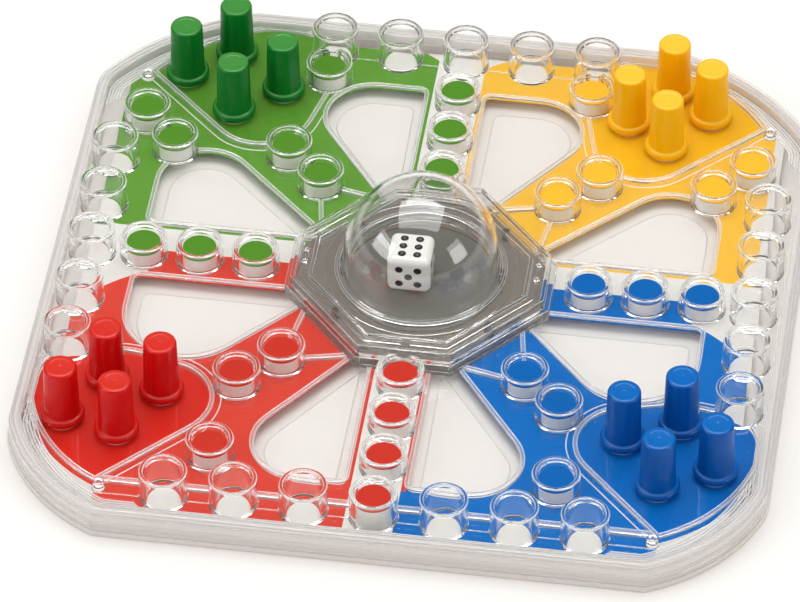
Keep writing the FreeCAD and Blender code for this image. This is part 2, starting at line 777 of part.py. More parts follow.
def popper_plate():
    inset = housing_step + housing_wall + fit_gap
    plate = octagon(inset, deck_top, plate_top)
    plate = plate.cut(cylinder(plate_opening / 2, deck_top, plate_top))
    plate = plate.cut(cylinder(sheet_diameter / 2 + fit_gap, plate_top - sheet_thickness, plate_top))
    for side in (-1, 1):
        slot = box(-leg_width / 2 - fit_gap, leg_width / 2 + fit_gap, -leg_thickness / 2 - fit_gap,
                   leg_thickness / 2 + fit_gap, deck_top, plate_top)
        slot.rotate(Vector(0, 0, 0), Vector(0, 0, 1), 90)
        slot.translate(Vector(side * leg_radius, 0, 0))
        plate = plate.cut(slot)
    for x, y in screw_places:
        plate = plate.cut(cylinder(screw_shank / 2 + fit_gap, deck_top, plate_top, x, y))
    return plate


def strike_sheet():
    return cylinder(sheet_diameter / 2, plate_top - sheet_thickness, plate_top)


def bow_spring():
    """Spring leaf under the plate: fixed in the middle, its two ends bent up to the dome's legs."""
    reach = leg_radius + leg_thickness
    rise = spring_top - spring_bottom - spring_thickness
    flat = rivet_pad / 2
    run = reach - flat
    radius = (run * run + rise * rise) / (2 * rise)
    turn = math.asin(run / radius)
    centre = (flat, spring_bottom + radius)
    outer = radius
    inner = radius - spring_thickness
    points = []
    for r, a in ((outer, 0), (outer, turn / 2), (outer, turn), (inner, turn), (inner, turn / 2), (inner, 0)):
        points.append(Vector(centre[0] + r * math.sin(a), 0, centre[1] - r * math.cos(a)))
    origin_low = Vector(0, 0, spring_bottom)
    origin_high = Vector(0, 0, spring_bottom + spring_thickness)
    edges = [Part.LineSegment(origin_low, points[0]).toShape(),
             Part.Arc(points[0], points[1], points[2]).toShape(),
             Part.LineSegment(points[2], points[3]).toShape(),
             Part.Arc(points[3], points[4], points[5]).toShape(),
             Part.LineSegment(points[5], origin_high).toShape(),
             Part.LineSegment(origin_high, origin_low).toShape()]
    half = Part.Face(Part.Wire(edges)).extrude(Vector(0, spring_width, 0))
    half.translate(Vector(0, -spring_width / 2, 0))
    leaf = half.fuse(half.mirror(Vector(0, 0, 0), Vector(1, 0, 0))).removeSplitter()
    return leaf.cut(cylinder(rivet_diameter / 2, 0, deck_top))


def spring_rivet():
    head_bottom = spring_bottom + spring_thickness
    shank = cylinder(rivet_diameter / 2, rivet_foot, head_bottom)
    head = cylinder(rivet_head / 2, head_bottom, head_bottom + rivet_head_height)
    return shank.fuse(head).removeSplitter()


def revolved(points, x=0.0, y=0.0):
    wire = Part.makePolygon([Vector(r, 0, z) for r, z in points + [points[0]]])
    solid = Part.Face(wire).revolve(Vector(0, 0, 0), Vector(0, 0, 1), 360)
    solid.translate(Vector(x, y, 0))
    return solid


def dome():
    r_out = dome_outside / 2
    r_in = r_out - dome_wall
    foot = r_out + dome_taper
    flange = dome_flange / 2
    z = dome_centre
    slant = math.radians(45)
    edges = [
        Part.Arc(Vector(0, 0, z + r_out), Vector(r_out * math.sin(slant), 0, z + r_out * math.cos(slant)),
                 Vector(r_out, 0, z)).toShape(),
        Part.makePolygon([Vector(r_out, 0, z), Vector(foot, 0, flange_top), Vector(flange, 0, flange_top),
                          Vector(flange, 0, flange_bottom), Vector(foot - dome_wall, 0, flange_bottom),
                          Vector(r_in, 0, z)]),
        Part.Arc(Vector(r_in, 0, z), Vector(r_in * math.sin(slant), 0, z + r_in * math.cos(slant)),
                 Vector(0, 0, z + r_in)).toShape(),
        Part.LineSegment(Vector(0, 0, z + r_in), Vector(0, 0, z + r_out)).toShape(),
    ]
    flat = []
    for item in edges:
        flat += item.Edges
    profile = Part.Face(Part.Wire(Part.__sortEdges__(flat)))
    shell = profile.revolve(Vector(0, 0, 0), Vector(0, 0, 1), 360)
    for side in (-1, 1):
        leg = box(-leg_thickness / 2, leg_thickness / 2, -leg_width / 2, leg_width / 2,
                  spring_top, flange_bottom)
        leg.translate(Vector(side * leg_radius, 0, 0))
        shell = shell.fuse(leg)
    return shell.removeSplitter()


def dome_ring():
    inner = dome_outside / 2 + dome_taper + fit_gap
    outer = ring_outside / 2
    top = ring_bottom + ring_height
    points = [(inner, ring_bottom), (outer, ring_bottom), (outer, top - ring_lip), (outer - ring_lip, top),
              (inner + ring_lip, top), (inner, top - ring_lip)]
    return revolved(points)


def die_shape():
    half = die_side / 2
    cube = box(-half, half, -half, half, -half, half)
    return cube.makeFillet(die_round, cube.Edges)


def pip_layout(value):
    s = pip_spacing
    layouts = {
        1: [(0, 0)],
        2: [(-s, -s), (s, s)],
        3: [(-s, -s), (0, 0), (s, s)],
        4: [(-s, -s), (s, -s), (-s, s), (s, s)],
        5: [(-s, -s), (s, -s), (0, 0), (-s, s), (s, s)],
        6: [(-s, -s), (-s, 0), (-s, s), (s, -s), (s, 0), (s, s)],
    }
    return layouts[value]


def pip_cutters():
    """Pips of all six faces: six on top, five towards the player."""
    turns = {6: (Vector(1, 0, 0), 0), 1: (Vector(1, 0, 0), 180), 5: (Vector(1, 0, 0), 90),
             2: (Vector(1, 0, 0), -90), 4: (Vector(0, 1, 0), 90), 3: (Vector(0, 1, 0), -90)}
    cutters = []
    for value, (axis, angle) in turns.items():
        for x, y in pip_layout(value):
            pip = cylinder(pip_diameter / 2, die_side / 2 - pip_depth, die_side / 2, x, y)
            pip.rotate(Vector(0, 0, 0), axis, angle)
            cutters.append(pip)
    return cutters


def placed_die(solid):
    solid.rotate(Vector(0, 0, 0), Vector(0, 0, 1), die_turn)
    solid.translate(Vector(die_x, die_y, plate_top + die_side / 2))
    return solid


def die():
    return placed_die(die_shape().cut(Part.makeCompound(pip_cutters())))


def frame_screws():
    screws = []
    for x, y in screw_places:
        head = cylinder(screw_head / 2, card_bottom - screw_head_height, card_bottom, x, y)
        shank = cylinder(screw_shank / 2, card_bottom, flange_bottom, x, y)
        screws.append(head.fuse(shank).removeSplitter())
    return Part.makeCompound(screws)


# ---------------------------------------------------------------- pegs
def peg(x, y):
    base = deck_top
    top = base + peg_height
    flange_r = peg_flange / 2
    low_r = peg_body_low / 2
    top_r = peg_body_top / 2
    stub_r = bore_r - peg_stub_play
    bulge = peg_flange_height / 3
    points = [(0, base - peg_stub_length), (stub_r, base - peg_stub_length), (stub_r, base),
              (flange_r - bulge, base), (flange_r, base + bulge), (flange_r, base + 2 * bulge),
              (flange_r - bulge, base + 3 * bulge), (low_r, base + 3 * bulge),
              (top_r, top - peg_top_round), (top_r - peg_top_round, top),
              (peg_dish / 2, top), (0, top - peg_dish_depth)]
    return revolved(points, x, y)


# ---------------------------------------------------------------- write every node
def write(name, shape):
    os.makedirs("parts", exist_ok=True)
    shape.exportStep("parts/" + name + ".step")


def main():
    write("base_tray", base_tray())
    write("top_deck", top_deck())
    write("window_beads", window_beads())
    write("home_beads", home_beads())
    write("deck_ribs", deck_ribs())
    for name, places in tall_groups.items():
        write(name, tall_group(places))
    for name, places in short_groups.items():
        write(name, short_group(places))
    for colour in colours:
        write("card_" + colour, card_without_spots(corner_card(colour)))
    write("lane_strips", lane_strips())
    for name, places in disc_groups.items():
        write(name, floor_discs(places))
    write("popper_frame", popper_frame())
    write("popper_plate", popper_plate())
    write("strike_sheet", strike_sheet())
    write("bow_spring", bow_spring())
    write("spring_rivet", spring_rivet())
    write("frame_screws", frame_screws())
    write("dome", dome())
    write("dome_ring", dome_ring())
    write("die", die())
    for colour in colours:
        for number, (x, y) in enumerate(home_pegs(colour), 1):
            write("peg_%s_%d" % (colour, number), peg(x, y))


main()
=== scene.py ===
import json
import math

import bmesh
import bpy
from mathutils import Matrix, Vector


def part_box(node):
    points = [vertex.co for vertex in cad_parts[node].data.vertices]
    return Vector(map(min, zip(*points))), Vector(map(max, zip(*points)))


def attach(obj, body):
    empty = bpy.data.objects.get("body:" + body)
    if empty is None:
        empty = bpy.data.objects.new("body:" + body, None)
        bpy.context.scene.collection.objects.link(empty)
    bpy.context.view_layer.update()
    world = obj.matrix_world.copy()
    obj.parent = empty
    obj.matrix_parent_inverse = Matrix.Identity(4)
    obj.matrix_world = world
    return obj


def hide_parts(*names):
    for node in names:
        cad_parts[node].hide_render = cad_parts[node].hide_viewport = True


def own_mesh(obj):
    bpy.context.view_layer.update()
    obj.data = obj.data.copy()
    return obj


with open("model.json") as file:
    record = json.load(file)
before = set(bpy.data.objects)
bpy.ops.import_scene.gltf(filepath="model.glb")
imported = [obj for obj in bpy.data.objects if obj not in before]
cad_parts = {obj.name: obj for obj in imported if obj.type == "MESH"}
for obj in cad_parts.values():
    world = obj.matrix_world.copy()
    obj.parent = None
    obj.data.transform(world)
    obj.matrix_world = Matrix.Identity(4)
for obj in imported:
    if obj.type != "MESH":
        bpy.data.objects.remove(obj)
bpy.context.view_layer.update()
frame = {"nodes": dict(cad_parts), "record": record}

# Pop up dice board game: clear moulded lid with ring sockets over printed cards, sixteen pegs and a
# press-down dice dome. Lengths in this script are millimetres and turn into metres where a mesh is made.

MM = 0.001
scene = bpy.context.scene

# ---- sizes, most of them the part's own
case_half_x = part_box("base_tray")[1].x / MM
case_half_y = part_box("base_tray")[1].y / MM
front_crease_x = 98.0
back_crease_x = 82.0
corner_side_y = 92.0
corner_bow = 6.5
corner_round = 20.0
rim_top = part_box("top_deck")[1].z / MM
foot_height = 2.0
skirt_inset = 0.8
skirt_wall = 1.6
skirt_step = 0.6
skirt_step_height = 9.2
rim_width = 4.6
rim_wall = 1.4
rim_bead_width = 1.1
rim_bead_height = 0.8
rim_inner = skirt_inset + rim_width
track_step = 0.3  # up from the rim's track to its inner edge
track_step_width = 0.7
track_ridge = 0.35  # height and half width of the fine ridge in the track
foot_lip = 0.25
groove_heights = (6.1, skirt_step_height, (skirt_step_height + rim_top) / 2)
ledge_count = 5  # fine steps beside the rim in the corners outside the homes
ledge_pitch = 1.1
far_away = 150.0  # outside the case
ledge_edge = 60.0  # the steps end where a line through this x and this y cuts the corner off
tray_floor = 1.6
deck_top = 7.5
deck_bottom = 5.5
air_gap = 0.05  # between the lid and the cards, so that no two faces lie in one plane
cut_play = 0.03  # between clear pieces that stand side by side
lid_bottom = deck_bottom + air_gap
stand = deck_top + air_gap  # underside of what stands on the deck
bead_width = 1.8
window_bead_top = deck_top + 0.9
home_bead_top = deck_top + 1.2
rail_width = 2.6
rail_top = deck_top + 1.5
rail_y = -115.7
guide_line_width = 0.7
guide_line_height = 0.3
guide_line_front = (100.0, -122.0)  # half length, y
guide_line_back = (75.0, 118.8)
home_line_gap = 3.2  # fine line outside a home's bead
vee_width = 1.9
vee_spread = 34.0
vee_length = 35.0
socket_r = 8.7
bore_r = 6.5
floor_disc_r = 6.2
floor_disc_thickness = 0.6
home_tip = (100.4, 116.0)
home_inner = (48.2, 61.8)
home_inner_round = 19.0
home_back = (99.0, 49.2)
home_back_round = 25.0
home_outer_y = 53.5
home_outer_round = 14.0
home_shoulder_y = 77.0
home_bows = {1: 4.4, -1: 5.4}  # back, front
window_corner_round = 3.0
window_far_round = 18.0
window_reach = 105.0
window_slope = ((19.0, 41.0), (64.0, 102.0))
side_window_slopes = {1: ((44.0, 25.5), (104.0, 83.5)), -1: ((46.3, 22.3), (71.8, 50.2))}  # back, front
side_window_edges = {1: 18.6, -1: 9.3}
front_side_window_round = 23.0
lane_left = -10.4
lane_right = 7.5
lane_line = 1.8
housing_half_x = 48.6
housing_half_y = 46.6
housing_flat_x = 17.5
housing_flat_y = 12.5
housing_step = 2.0
housing_step_top = deck_top + 5.2
housing_top = deck_top + 9.2
housing_wall = 1.6
channel_depth = 1.3
channel_width = 5.0
housing_bead = 1.5
well_ledge = 10.6
flange_bottom = deck_top + 6.3
flange_top = flange_bottom + 1.5
dome_r = 28.2
dome_wall = 1.4
dome_centre = deck_top + 18.0
dome_taper = 0.3
dome_flange_r = 30.2
ring_outer_r = 31.6
ring_height = 2.1
leg_radius = 29.4
leg_width = 8.0
leg_thickness = 1.4
die_side = 16.0
die_round = 2.6
pip_spacing = 3.4
pip_r = 1.5
six_spacing = (2.8, 4.1)
die_turn = 0.5  # degrees
pip_ball_r = 2.2  # ball that hollows out a pip
spring_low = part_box("bow_spring")[0][2]  # in metres
spring_reach, spring_half_width, spring_high = (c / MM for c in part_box("bow_spring")[1])
spring_thickness = 0.6
spring_flat = 4.5  # half of the pad that the leaf lies flat on
spring_steps = 32
top_line_r = 35.0  # fine circle on the housing's top
bridge_width = 3.4
bridge_drop = 0.4
knob_places = [(-42.5, 3.0), (-42.5, -3.0), (42.5, 6.5), (42.5, -1.0)]
knob_r = 1.2
knob_bore_r = 0.5
skirt_tab_half = 1.0
skirt_tab_depth = 0.2
panel_inset = 4.5  # outline in the tray's floor, inside a window's edge
peg_flange_r = 8.1
peg_flange_height = 3.0
peg_low_r = 6.5
peg_top_r = 6.0
peg_stub_r = bore_r - 0.3
peg_dish_r = 4.0
peg_mark_r = 0.6  # gate mark in the middle of the dish
front_post = (98.7, 118.2)
back_post = (118.2, 98.7)
post_r = 2.2
post_rise = 1.6
post_places = [(sx * p[0], sy * p[1]) for sx in (-1, 1) for p, sy in ((front_post, -1), (back_post, 1))]
front_margin = ((73.0, 62.1), 62.2)  # centre and radius of the arc between print and white corner
back_margin = ((53.6, 62.4), 74.8)
print_reach = {"green": 126.0, "yellow": 120.5, "red": 126.0, "blue": 126.0}  # x where a card's print ends

colours = ("green", "yellow", "red", "blue")
side_sign = {"green": (-1, 1), "yellow": (1, 1), "red": (-1, -1), "blue": (1, -1)}
peg_nodes = {colour: ["peg_%s_%d" % (colour, number) for number in range(1, 5)] for colour in colours}


def socket_places(node):
    """Places (x, y), top and depth of the sockets of one node, from its bore mounts."""
    start = node.replace("sockets_", "socket_") + "_"
    return [([c / MM for c in m["pos_m"]], m["dims"]["length_mm"])
            for m in frame["record"]["mounts"] if m["name"].startswith(start)]


def centre_of(node):
    """Middle of a node in plan."""
    low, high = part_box(node)
    return (low.x + high.x) / 2 / MM, (low.y + high.y) / 2 / MM


socket_nodes = [n for n in frame["nodes"] if n.startswith("sockets_")]
sockets = [place for node in socket_nodes for place, _ in socket_places(node)]
tall_top = max(top for _, _, top in sockets)
tall_places = [(x, y) for x, y, top in sockets if top > tall_top - 1]


# ---- plan shapes
def arc(centre, radius, start, end, steps):
    """Points along an arc, both ends included, the short way round."""
    a0 = math.atan2(start[1] - centre[1], start[0] - centre[0])
    a1 = math.atan2(end[1] - centre[1], end[0] - centre[0])
    turn = (a1 - a0 + math.pi) % (2 * math.pi) - math.pi
    angles = [a0 + turn * i / steps for i in range(steps + 1)]
    return [(centre[0] + radius * math.cos(a), centre[1] + radius * math.sin(a)) for a in angles]


def bow_radius(chord, bow):
    """Radius of an arc over a chord that stands out by the bow."""
    return (chord * chord / 4 + bow * bow) / (2 * bow)


def circle(x, y, radius, steps):
    return [(x + radius * math.cos(2 * math.pi * i / steps), y + radius * math.sin(2 * math.pi * i / steps))
            for i in range(steps)]


def rectangle(x0, y0, x1, y1):
    return [(x0, y0), (x1, y0), (x1, y1), (x0, y1)]


def rounded(points, radii, steps=5):
    """Closed outline through points, each corner rounded by its radius (0 keeps it sharp)."""
    outline = []
    count = len(points)
    for i in range(count):
        here = Vector(points[i])
        if radii[i] == 0:
            outline.append(tuple(here))
            continue
        to_before = (Vector(points[i - 1]) - here).normalized()
        to_after = (Vector(points[(i + 1) % count]) - here).normalized()
        half = to_before.angle(to_after) / 2
        start = here + to_before * (radii[i] / math.tan(half))
        end = here + to_after * (radii[i] / math.tan(half))
        centre = here + (to_before + to_after).normalized() * (radii[i] / math.sin(half))
        outline += arc(centre, radii[i], start, end, steps)
    return outline


def turned(points):
    """The outline running anticlockwise."""
    area = sum(points[i - 1][0] * points[i][1] - points[i][0] * points[i - 1][1] for i in range(len(points)))
    return points if area > 0 else points[::-1]


def case_corner(crease_x, inset):
    """Side, rounding, bow and crease of one corner in the quadrant where x and y are positive."""
    chord_x = case_half_x - crease_x
    chord_y = case_half_y - corner_side_y
    chord = math.hypot(chord_x, chord_y)
    bow_r = bow_radius(chord, corner_bow)
    back = bow_r - corner_bow
    centre = ((crease_x + case_half_x) / 2 - back * chord_y / chord,
              (case_half_y + corner_side_y) / 2 - back * chord_x / chord)
    small_x = case_half_x - corner_round
    small = (small_x, centre[1] + math.sqrt((bow_r - corner_round) ** 2 - (small_x - centre[0]) ** 2))
    r = bow_r - inset
    top = case_half_y - inset
    crease = (centre[0] + math.sqrt(r * r - (top - centre[1]) ** 2), top)
    angle = math.atan2(small[1] - centre[1], small[0] - centre[0])
    bow_end = (centre[0] + r * math.cos(angle), centre[1] + r * math.sin(angle))
    rounding = arc(small, corner_round - inset, (case_half_x - inset, small[1]), bow_end, 8)
    return rounding + arc(centre, r, bow_end, crease, 18)[1:]


def case_outline(inset):
    yellow = case_corner(back_crease_x, inset)
    green = [(-x, y) for x, y in yellow][::-1]
    blue = [(x, -y) for x, y in case_corner(front_crease_x, inset)][::-1]
    red = [(-x, y) for x, y in blue][::-1]
    return yellow + green + red + blue


def octagon(inset, corner=1.2):
    half_x = housing_half_x - inset
    half_y = housing_half_y - inset
    fx = housing_flat_x * half_y / housing_half_y
    fy = housing_flat_y * half_x / housing_half_x
    points = [(half_x, fy), (fx, half_y), (-fx, half_y), (-half_x, fy),
              (-half_x, -fy), (-fx, -half_y), (fx, -half_y), (half_x, -fy)]
    return rounded(points, [corner] * len(points), 3)


def home_outline(colour):
    """Pick-shaped home. The back ones are the front ones mirrored over the diagonal."""
    sx, sy = side_sign[colour]
    side_x = min(case_half_x, case_half_y) - skirt_inset - rim_width
    points = [home_tip, home_inner, home_back, (side_x, home_outer_y), (side_x, home_shoulder_y)]
    if sy > 0:
        points = [(y, x) for x, y in points]
    points = [(x * sx, y * sy) for x, y in points]
    core = rounded(points, [0, home_inner_round, home_back_round, home_outer_round, 0], 14)
    tip = Vector(points[0])
    shoulder = Vector(points[-1])
    bow = home_bows[sy]
    radius = bow_radius((tip - shoulder).length, bow)
    middle = (tip + shoulder) / 2
    outward = (middle - Vector(points[1])).normalized()
    across = Vector((-(tip - shoulder).y, (tip - shoulder).x)).normalized()
    across = across if across.dot(outward) > 0 else -across
    centre = middle - across * (radius - bow)
    return turned(core + arc(centre, radius, shoulder, tip, 14)[1:-1])


def window_outline(colour, beside_side, corner=window_corner_round):
    sx, sy = side_sign[colour]
    (x0, y0), (x1, y1) = (side_window_slopes[sy] if beside_side else window_slope)
    slope = (y1 - y0) / (x1 - x0)
    if beside_side:
        edge = side_window_edges[sy]
        points = [(x0 + (edge - y0) / slope, edge), (window_reach, edge),
                  (window_reach, y0 + (window_reach - x0) * slope)]
    else:
        edge = (lane_right if sx > 0 else -lane_left) + lane_line
        points = [(edge, y0 + (edge - x0) * slope), (edge, window_reach),
                  (x0 + (window_reach - y0) / slope, window_reach)]
    far_round = front_side_window_round if beside_side and sy < 0 else window_far_round
    return turned(rounded([(x * sx, y * sy) for x, y in points], [0, corner, far_round], 14))


def windows():
    return [window_outline(colour, beside_side) for colour in colours for beside_side in (False, True)]


def homes():
    return [home_outline(colour) for colour in colours]


def offset(outline, distance):
    """Anticlockwise outline moved outward by distance, with mitred corners."""
    count = len(outline)
    moved = []
    for i in range(count):
        here = Vector(outline[i])
        before = (here - Vector(outline[i - 1])).normalized()
        after = (Vector(outline[(i + 1) % count]) - here).normalized()
        first = Vector((before.y, -before.x))
        second = Vector((after.y, -after.x))
        mitre = (first + second).normalized()
        moved.append(tuple(here + mitre * (distance / max(mitre.dot(first), 0.35))))
    return moved


# ---- mesh shapes: (points, faces)
def at_height(outline, z):
    return [(x, y, z) for x, y in outline]


def loft(loops, closed=True):
    count = len(loops[0])
    points = [p for loop in loops for p in loop]
    faces = []
    for j in range(len(loops) if closed else len(loops) - 1):
        a = j * count
        b = (j + 1) % len(loops) * count
        for i in range(count):
            n = (i + 1) % count
            faces.append((a + i, a + n, b + n, b + i))
    return points, faces


def capped(loops):
    points, faces = loft(loops, closed=False)
    count = len(loops[0])
    faces.append(tuple(range(count))[::-1])
    faces.append(tuple(range(len(points) - count, len(points))))
    return points, faces


def wall(outline, bottom, top):
    return loft([at_height(outline, bottom), at_height(outline, top)], closed=False)


def prism(outline, bottom, top):
    return capped([at_height(outline, bottom), at_height(outline, top)])


def lathe(section, x=0.0, y=0.0, steps=64):
    """Closed section of (radius, height) turned round a vertical axis."""
    return loft([at_height(circle(x, y, r, steps), z) for r, z in section])


def turned_solid(section, x=0.0, y=0.0, steps=48):
    """Section that starts and ends on the axis."""
    loops = [at_height(circle(x, y, r, steps), z) for r, z in section[1:-1]]
    points, faces = loft(loops, closed=False)
    for z, loop, flip in ((section[0][1], 0, True), (section[-1][1], len(loops) - 1, False)):
        points.append((x, y, z))
        tip = len(points) - 1
        for i in range(steps):
            a = loop * steps + i
            b = loop * steps + (i + 1) % steps
            faces.append((b, a, tip) if flip else (a, b, tip))
    return points, faces


def swept(outline, section):
    """Closed section of (outward offset, height) carried round an outline."""
    return loft([at_height(offset(outline, out), z) for out, z in section])


def bar(start, end, section):
    """Closed section of (sideways, height) carried along a straight line."""
    a = Vector(start)
    b = Vector(end)
    along = (b - a).normalized()
    side = Vector((-along.y, along.x))
    loops = []
    for p in (a, b):
        loops.append([(p.x + side.x * s, p.y + side.y * s, z) for s, z in section])
    return capped(loops)


def bead_section(width, bottom, top, roundness):
    r = min(roundness * width, (top - bottom) * 0.9)
    return rounded(rectangle(-width / 2, bottom, width / 2, top), [0, 0, r, r], 4)


def filled(loops, z):
    """Flat face with holes, as triangles."""
    bm = bmesh.new()
    edges = []
    for loop in loops:
        ring = [bm.verts.new((x, y, z)) for x, y in loop]
        edges += [bm.edges.new((ring[i - 1], ring[i])) for i in range(len(ring))]
    bmesh.ops.triangle_fill(bm, use_beauty=True, edges=edges, normal=(0, 0, 1))
    bm.verts.index_update()
    points = [tuple(v.co) for v in bm.verts]
    faces = [tuple(v.index for v in f.verts) for f in bm.faces]
    bm.free()
    return points, faces


def joined(shapes):
    points = []
    faces = []
    for more_points, more_faces in shapes:
        base = len(points)
        points += more_points
        faces += [tuple(i + base for i in f) for f in more_faces]
    return points, faces


def plate_with_holes(outer, holes, bottom, top):
    """Closed flat plate."""
    loops = [outer] + holes
    return joined([filled(loops, bottom), filled(loops, top)] + [wall(loop, bottom, top) for loop in loops])


def mesh_of(*shapes):
    """Mesh in metres, welded and with its faces turned outward."""
    mesh = bpy.data.meshes.new("shape")
    points, faces = joined(shapes)
    mesh.from_pydata([tuple(c * MM for c in p) for p in points], [], faces)
    bm = bmesh.new()
    bm.from_mesh(mesh)
    bmesh.ops.remove_doubles(bm, verts=bm.verts, dist=2e-7)
    bmesh.ops.recalc_face_normals(bm, faces=bm.faces)
    bm.to_mesh(mesh)
    bm.free()
    return mesh


def written(bm):
    """Mesh from a bmesh, which is given up."""
    mesh = bpy.data.meshes.new("shape")
    bm.to_mesh(mesh)
    bm.free()
    return mesh


def add_object(name, data):
    ob = bpy.data.objects.new(name, data)
    scene.collection.objects.link(ob)
    return ob


def combined(mesh, other, operation):
    """Mesh joined with another or cut by it."""
    base = add_object("base", mesh)
    tool = add_object("tool", other)
    modifier = base.modifiers.new("combine", "BOOLEAN")
    modifier.operation = operation
    modifier.solver = "MANIFOLD"
    modifier.object = tool
    bpy.context.view_layer.update()
    result = bpy.data.meshes.new_from_object(base.evaluated_get(bpy.context.evaluated_depsgraph_get()))
    for ob in (base, tool):
        bpy.data.objects.remove(ob)
    return result


def with_slots(mesh, count):
    while len(mesh.materials) < count:
        mesh.materials.append(None)


def piece(name, mesh, materials, body, replaced=(), sharp=32.0, weighted=True):
    mesh.name = name
    with_slots(mesh, len(materials))
    for i, material in enumerate(materials):
        mesh.materials[i] = material
    mesh.shade_smooth()
    mesh.set_sharp_from_angle(angle=math.radians(sharp))
    ob = add_object(name, mesh)
    if weighted:
        modifier = ob.modifiers.new("normals", "WEIGHTED_NORMAL")
        modifier.keep_sharp = True
    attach(ob, body)
    if replaced:
        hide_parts(*replaced)
    return ob


def clear_piece(name, mesh, materials, replaced=()):
    """Piece of the moulded lid, which stays with the case."""
    return piece(name, mesh, materials, "case", replaced)


# ---- materials
def srgb(r, g, b):
    def linear(c):
        c = c / 255
        return c / 12.92 if c <= 0.04045 else ((c + 0.055) / 1.055) ** 2.4
    return (linear(r), linear(g), linear(b), 1.0)


def feed(tree, node, inputs):
    """Each input, by name or number, gets a value or is linked to another node's output."""
    for key, value in inputs.items():
        if isinstance(value, bpy.types.NodeSocket):
            tree.links.new(value, node.inputs[key])
        else:
            node.inputs[key].default_value = value


def add_node(tree, kind, inputs=None, **settings):
    node = tree.nodes.new("ShaderNode" + kind)
    for name, value in settings.items():
        setattr(node, name, value)
    feed(tree, node, inputs or {})
    return node


def new_material(name):
    """Material with nothing but its output node."""
    material = bpy.data.materials.new(name)
    material.use_nodes = True
    tree = material.node_tree
    tree.nodes.clear()
    return material, tree, add_node(tree, "OutputMaterial")


def plain_material(name):
    material, tree, output = new_material(name)
    shader = add_node(tree, "BsdfPrincipled")
    feed(tree, output, {"Surface": shader.outputs["BSDF"]})
    return material, tree, shader


def calculated(tree, operation, *values):
    return add_node(tree, "Math", dict(enumerate(values)), operation=operation).outputs["Value"]


def vector_calculated(tree, operation, *values):
    return add_node(tree, "VectorMath", dict(enumerate(values)), operation=operation).outputs


def either_ray(tree, *kinds):
    """1 for rays of either of two kinds."""
    path = add_node(tree, "LightPath").outputs
    return calculated(tree, "MAXIMUM", *[path["Is %s Ray" % kind] for kind in kinds])


def coordinate(tree, kind="Object"):
    return add_node(tree, "TexCoord").outputs[kind]


def split_up(tree, vector):
    return add_node(tree, "SeparateXYZ", {"Vector": vector}).outputs


def noise(tree, scale, detail=3.0, roughness=0.5):
    inputs = {"Vector": coordinate(tree), "Scale": scale, "Detail": detail, "Roughness": roughness}
    return add_node(tree, "TexNoise", inputs).outputs["Fac"]


def ranged(tree, value, low, high):
    return add_node(tree, "MapRange", {"Value": value, "To Min": low, "To Max": high}).outputs["Result"]


def uneven(tree, middle, share_down, share_up, scale, detail=3.0):
    """A measure that wanders between two shares of its middle value."""
    return ranged(tree, noise(tree, scale, detail), middle * share_down, middle * share_up)


def mixed(tree, factor, first, second):
    inputs = {"Factor": factor, "A": first, "B": second}
    return add_node(tree, "Mix", inputs, data_type="RGBA").outputs["Result"]


def switched(tree, factor, first, second):
    """First shader where the factor is 0, second where it is 1."""
    return add_node(tree, "MixShader", {"Fac": factor, 1: first, 2: second}).outputs["Shader"]


def waves(tree, scale, detail, strength, distance):
    """Normal of a faintly wavy surface."""
    inputs = {"Strength": strength, "Distance": distance, "Height": noise(tree, scale, detail)}
    return add_node(tree, "Bump", inputs).outputs["Normal"]


def clear_plastic(name, colour=(0.985, 0.985, 0.98, 1.0), rough=0.02, clarity=1.0, passes=0.97, flow=0.12,
                  ior=1.49):
    """Moulded clear plastic: faint flow waves, and most of the lamps' light goes straight through."""
    material, tree, output = new_material(name)
    shader = add_node(tree, "BsdfPrincipled", {
        "Transmission Weight": clarity, "IOR": ior, "Base Color": colour,
        "Roughness": uneven(tree, rough, 0.5, 1.5, 60.0), "Normal": waves(tree, 90.0, 2.0, flow, 0.0002)})
    through = add_node(tree, "BsdfTransparent", {"Color": (passes, passes, passes, 1.0)})
    passed = either_ray(tree, "Shadow", "Diffuse")
    feed(tree, output, {"Surface": switched(tree, passed, shader.outputs["BSDF"], through.outputs["BSDF"])})
    return material


def two_shades(tree, colour, deep, scale=130.0, detail=4.0, roughness=0.5):
    """Colour that wanders between a shade and a deeper one."""
    return mixed(tree, noise(tree, scale, detail, roughness), srgb(*deep), srgb(*colour))


def patchy(tree, colour, share, scale):
    """Colour that darkens here and there to a share of itself."""
    full = srgb(*colour)
    return mixed(tree, noise(tree, scale, 4.0), full, (*[c * share for c in full[:3]], 1.0))


def glossy_finish(name, rough, coat, sheen):
    """Opaque moulded plastic, slightly uneven in finish, still without its colour."""
    material, tree, shader = plain_material(name)
    feed(tree, shader, {
        "Roughness": uneven(tree, rough, 0.8, 1.2, 420.0), "IOR": 1.5, "Specular IOR Level": sheen,
        "Coat Weight": coat, "Coat Roughness": 0.08, "Normal": waves(tree, 700.0, 2.0, 0.1, 0.0001)})
    return material, tree, shader


def glossy_plastic(name, colour, deep, rough=0.22, coat=0.35, sheen=0.5):
    """Opaque moulded plastic with a soft sheen, slightly uneven in shade and finish."""
    material, tree, shader = glossy_finish(name, rough, coat, sheen)
    feed(tree, shader, {"Base Color": two_shades(tree, colour, deep)})
    return material


def painted_top_light_plastic(name, colour, deep, painted_top_colour, rough, coat, sheen, low, high):
    """Glossy plastic whose faces take a lighter colour as their normals turn up from low to high: painted
    light on the up-facing faces, painted shade on the sides.
    """
    material, tree, shader = glossy_finish(name, rough, coat, sheen)
    body = two_shades(tree, colour, deep)
    up = patchy(tree, painted_top_colour, 0.95, 180.0)
    inputs = {"Value": split_up(tree, coordinate(tree, "Normal"))["Z"], "From Min": low, "From Max": high}
    top_light_share = add_node(tree, "MapRange", inputs).outputs["Result"]
    feed(tree, shader, {"Base Color": mixed(tree, top_light_share, body, up)})
    return material


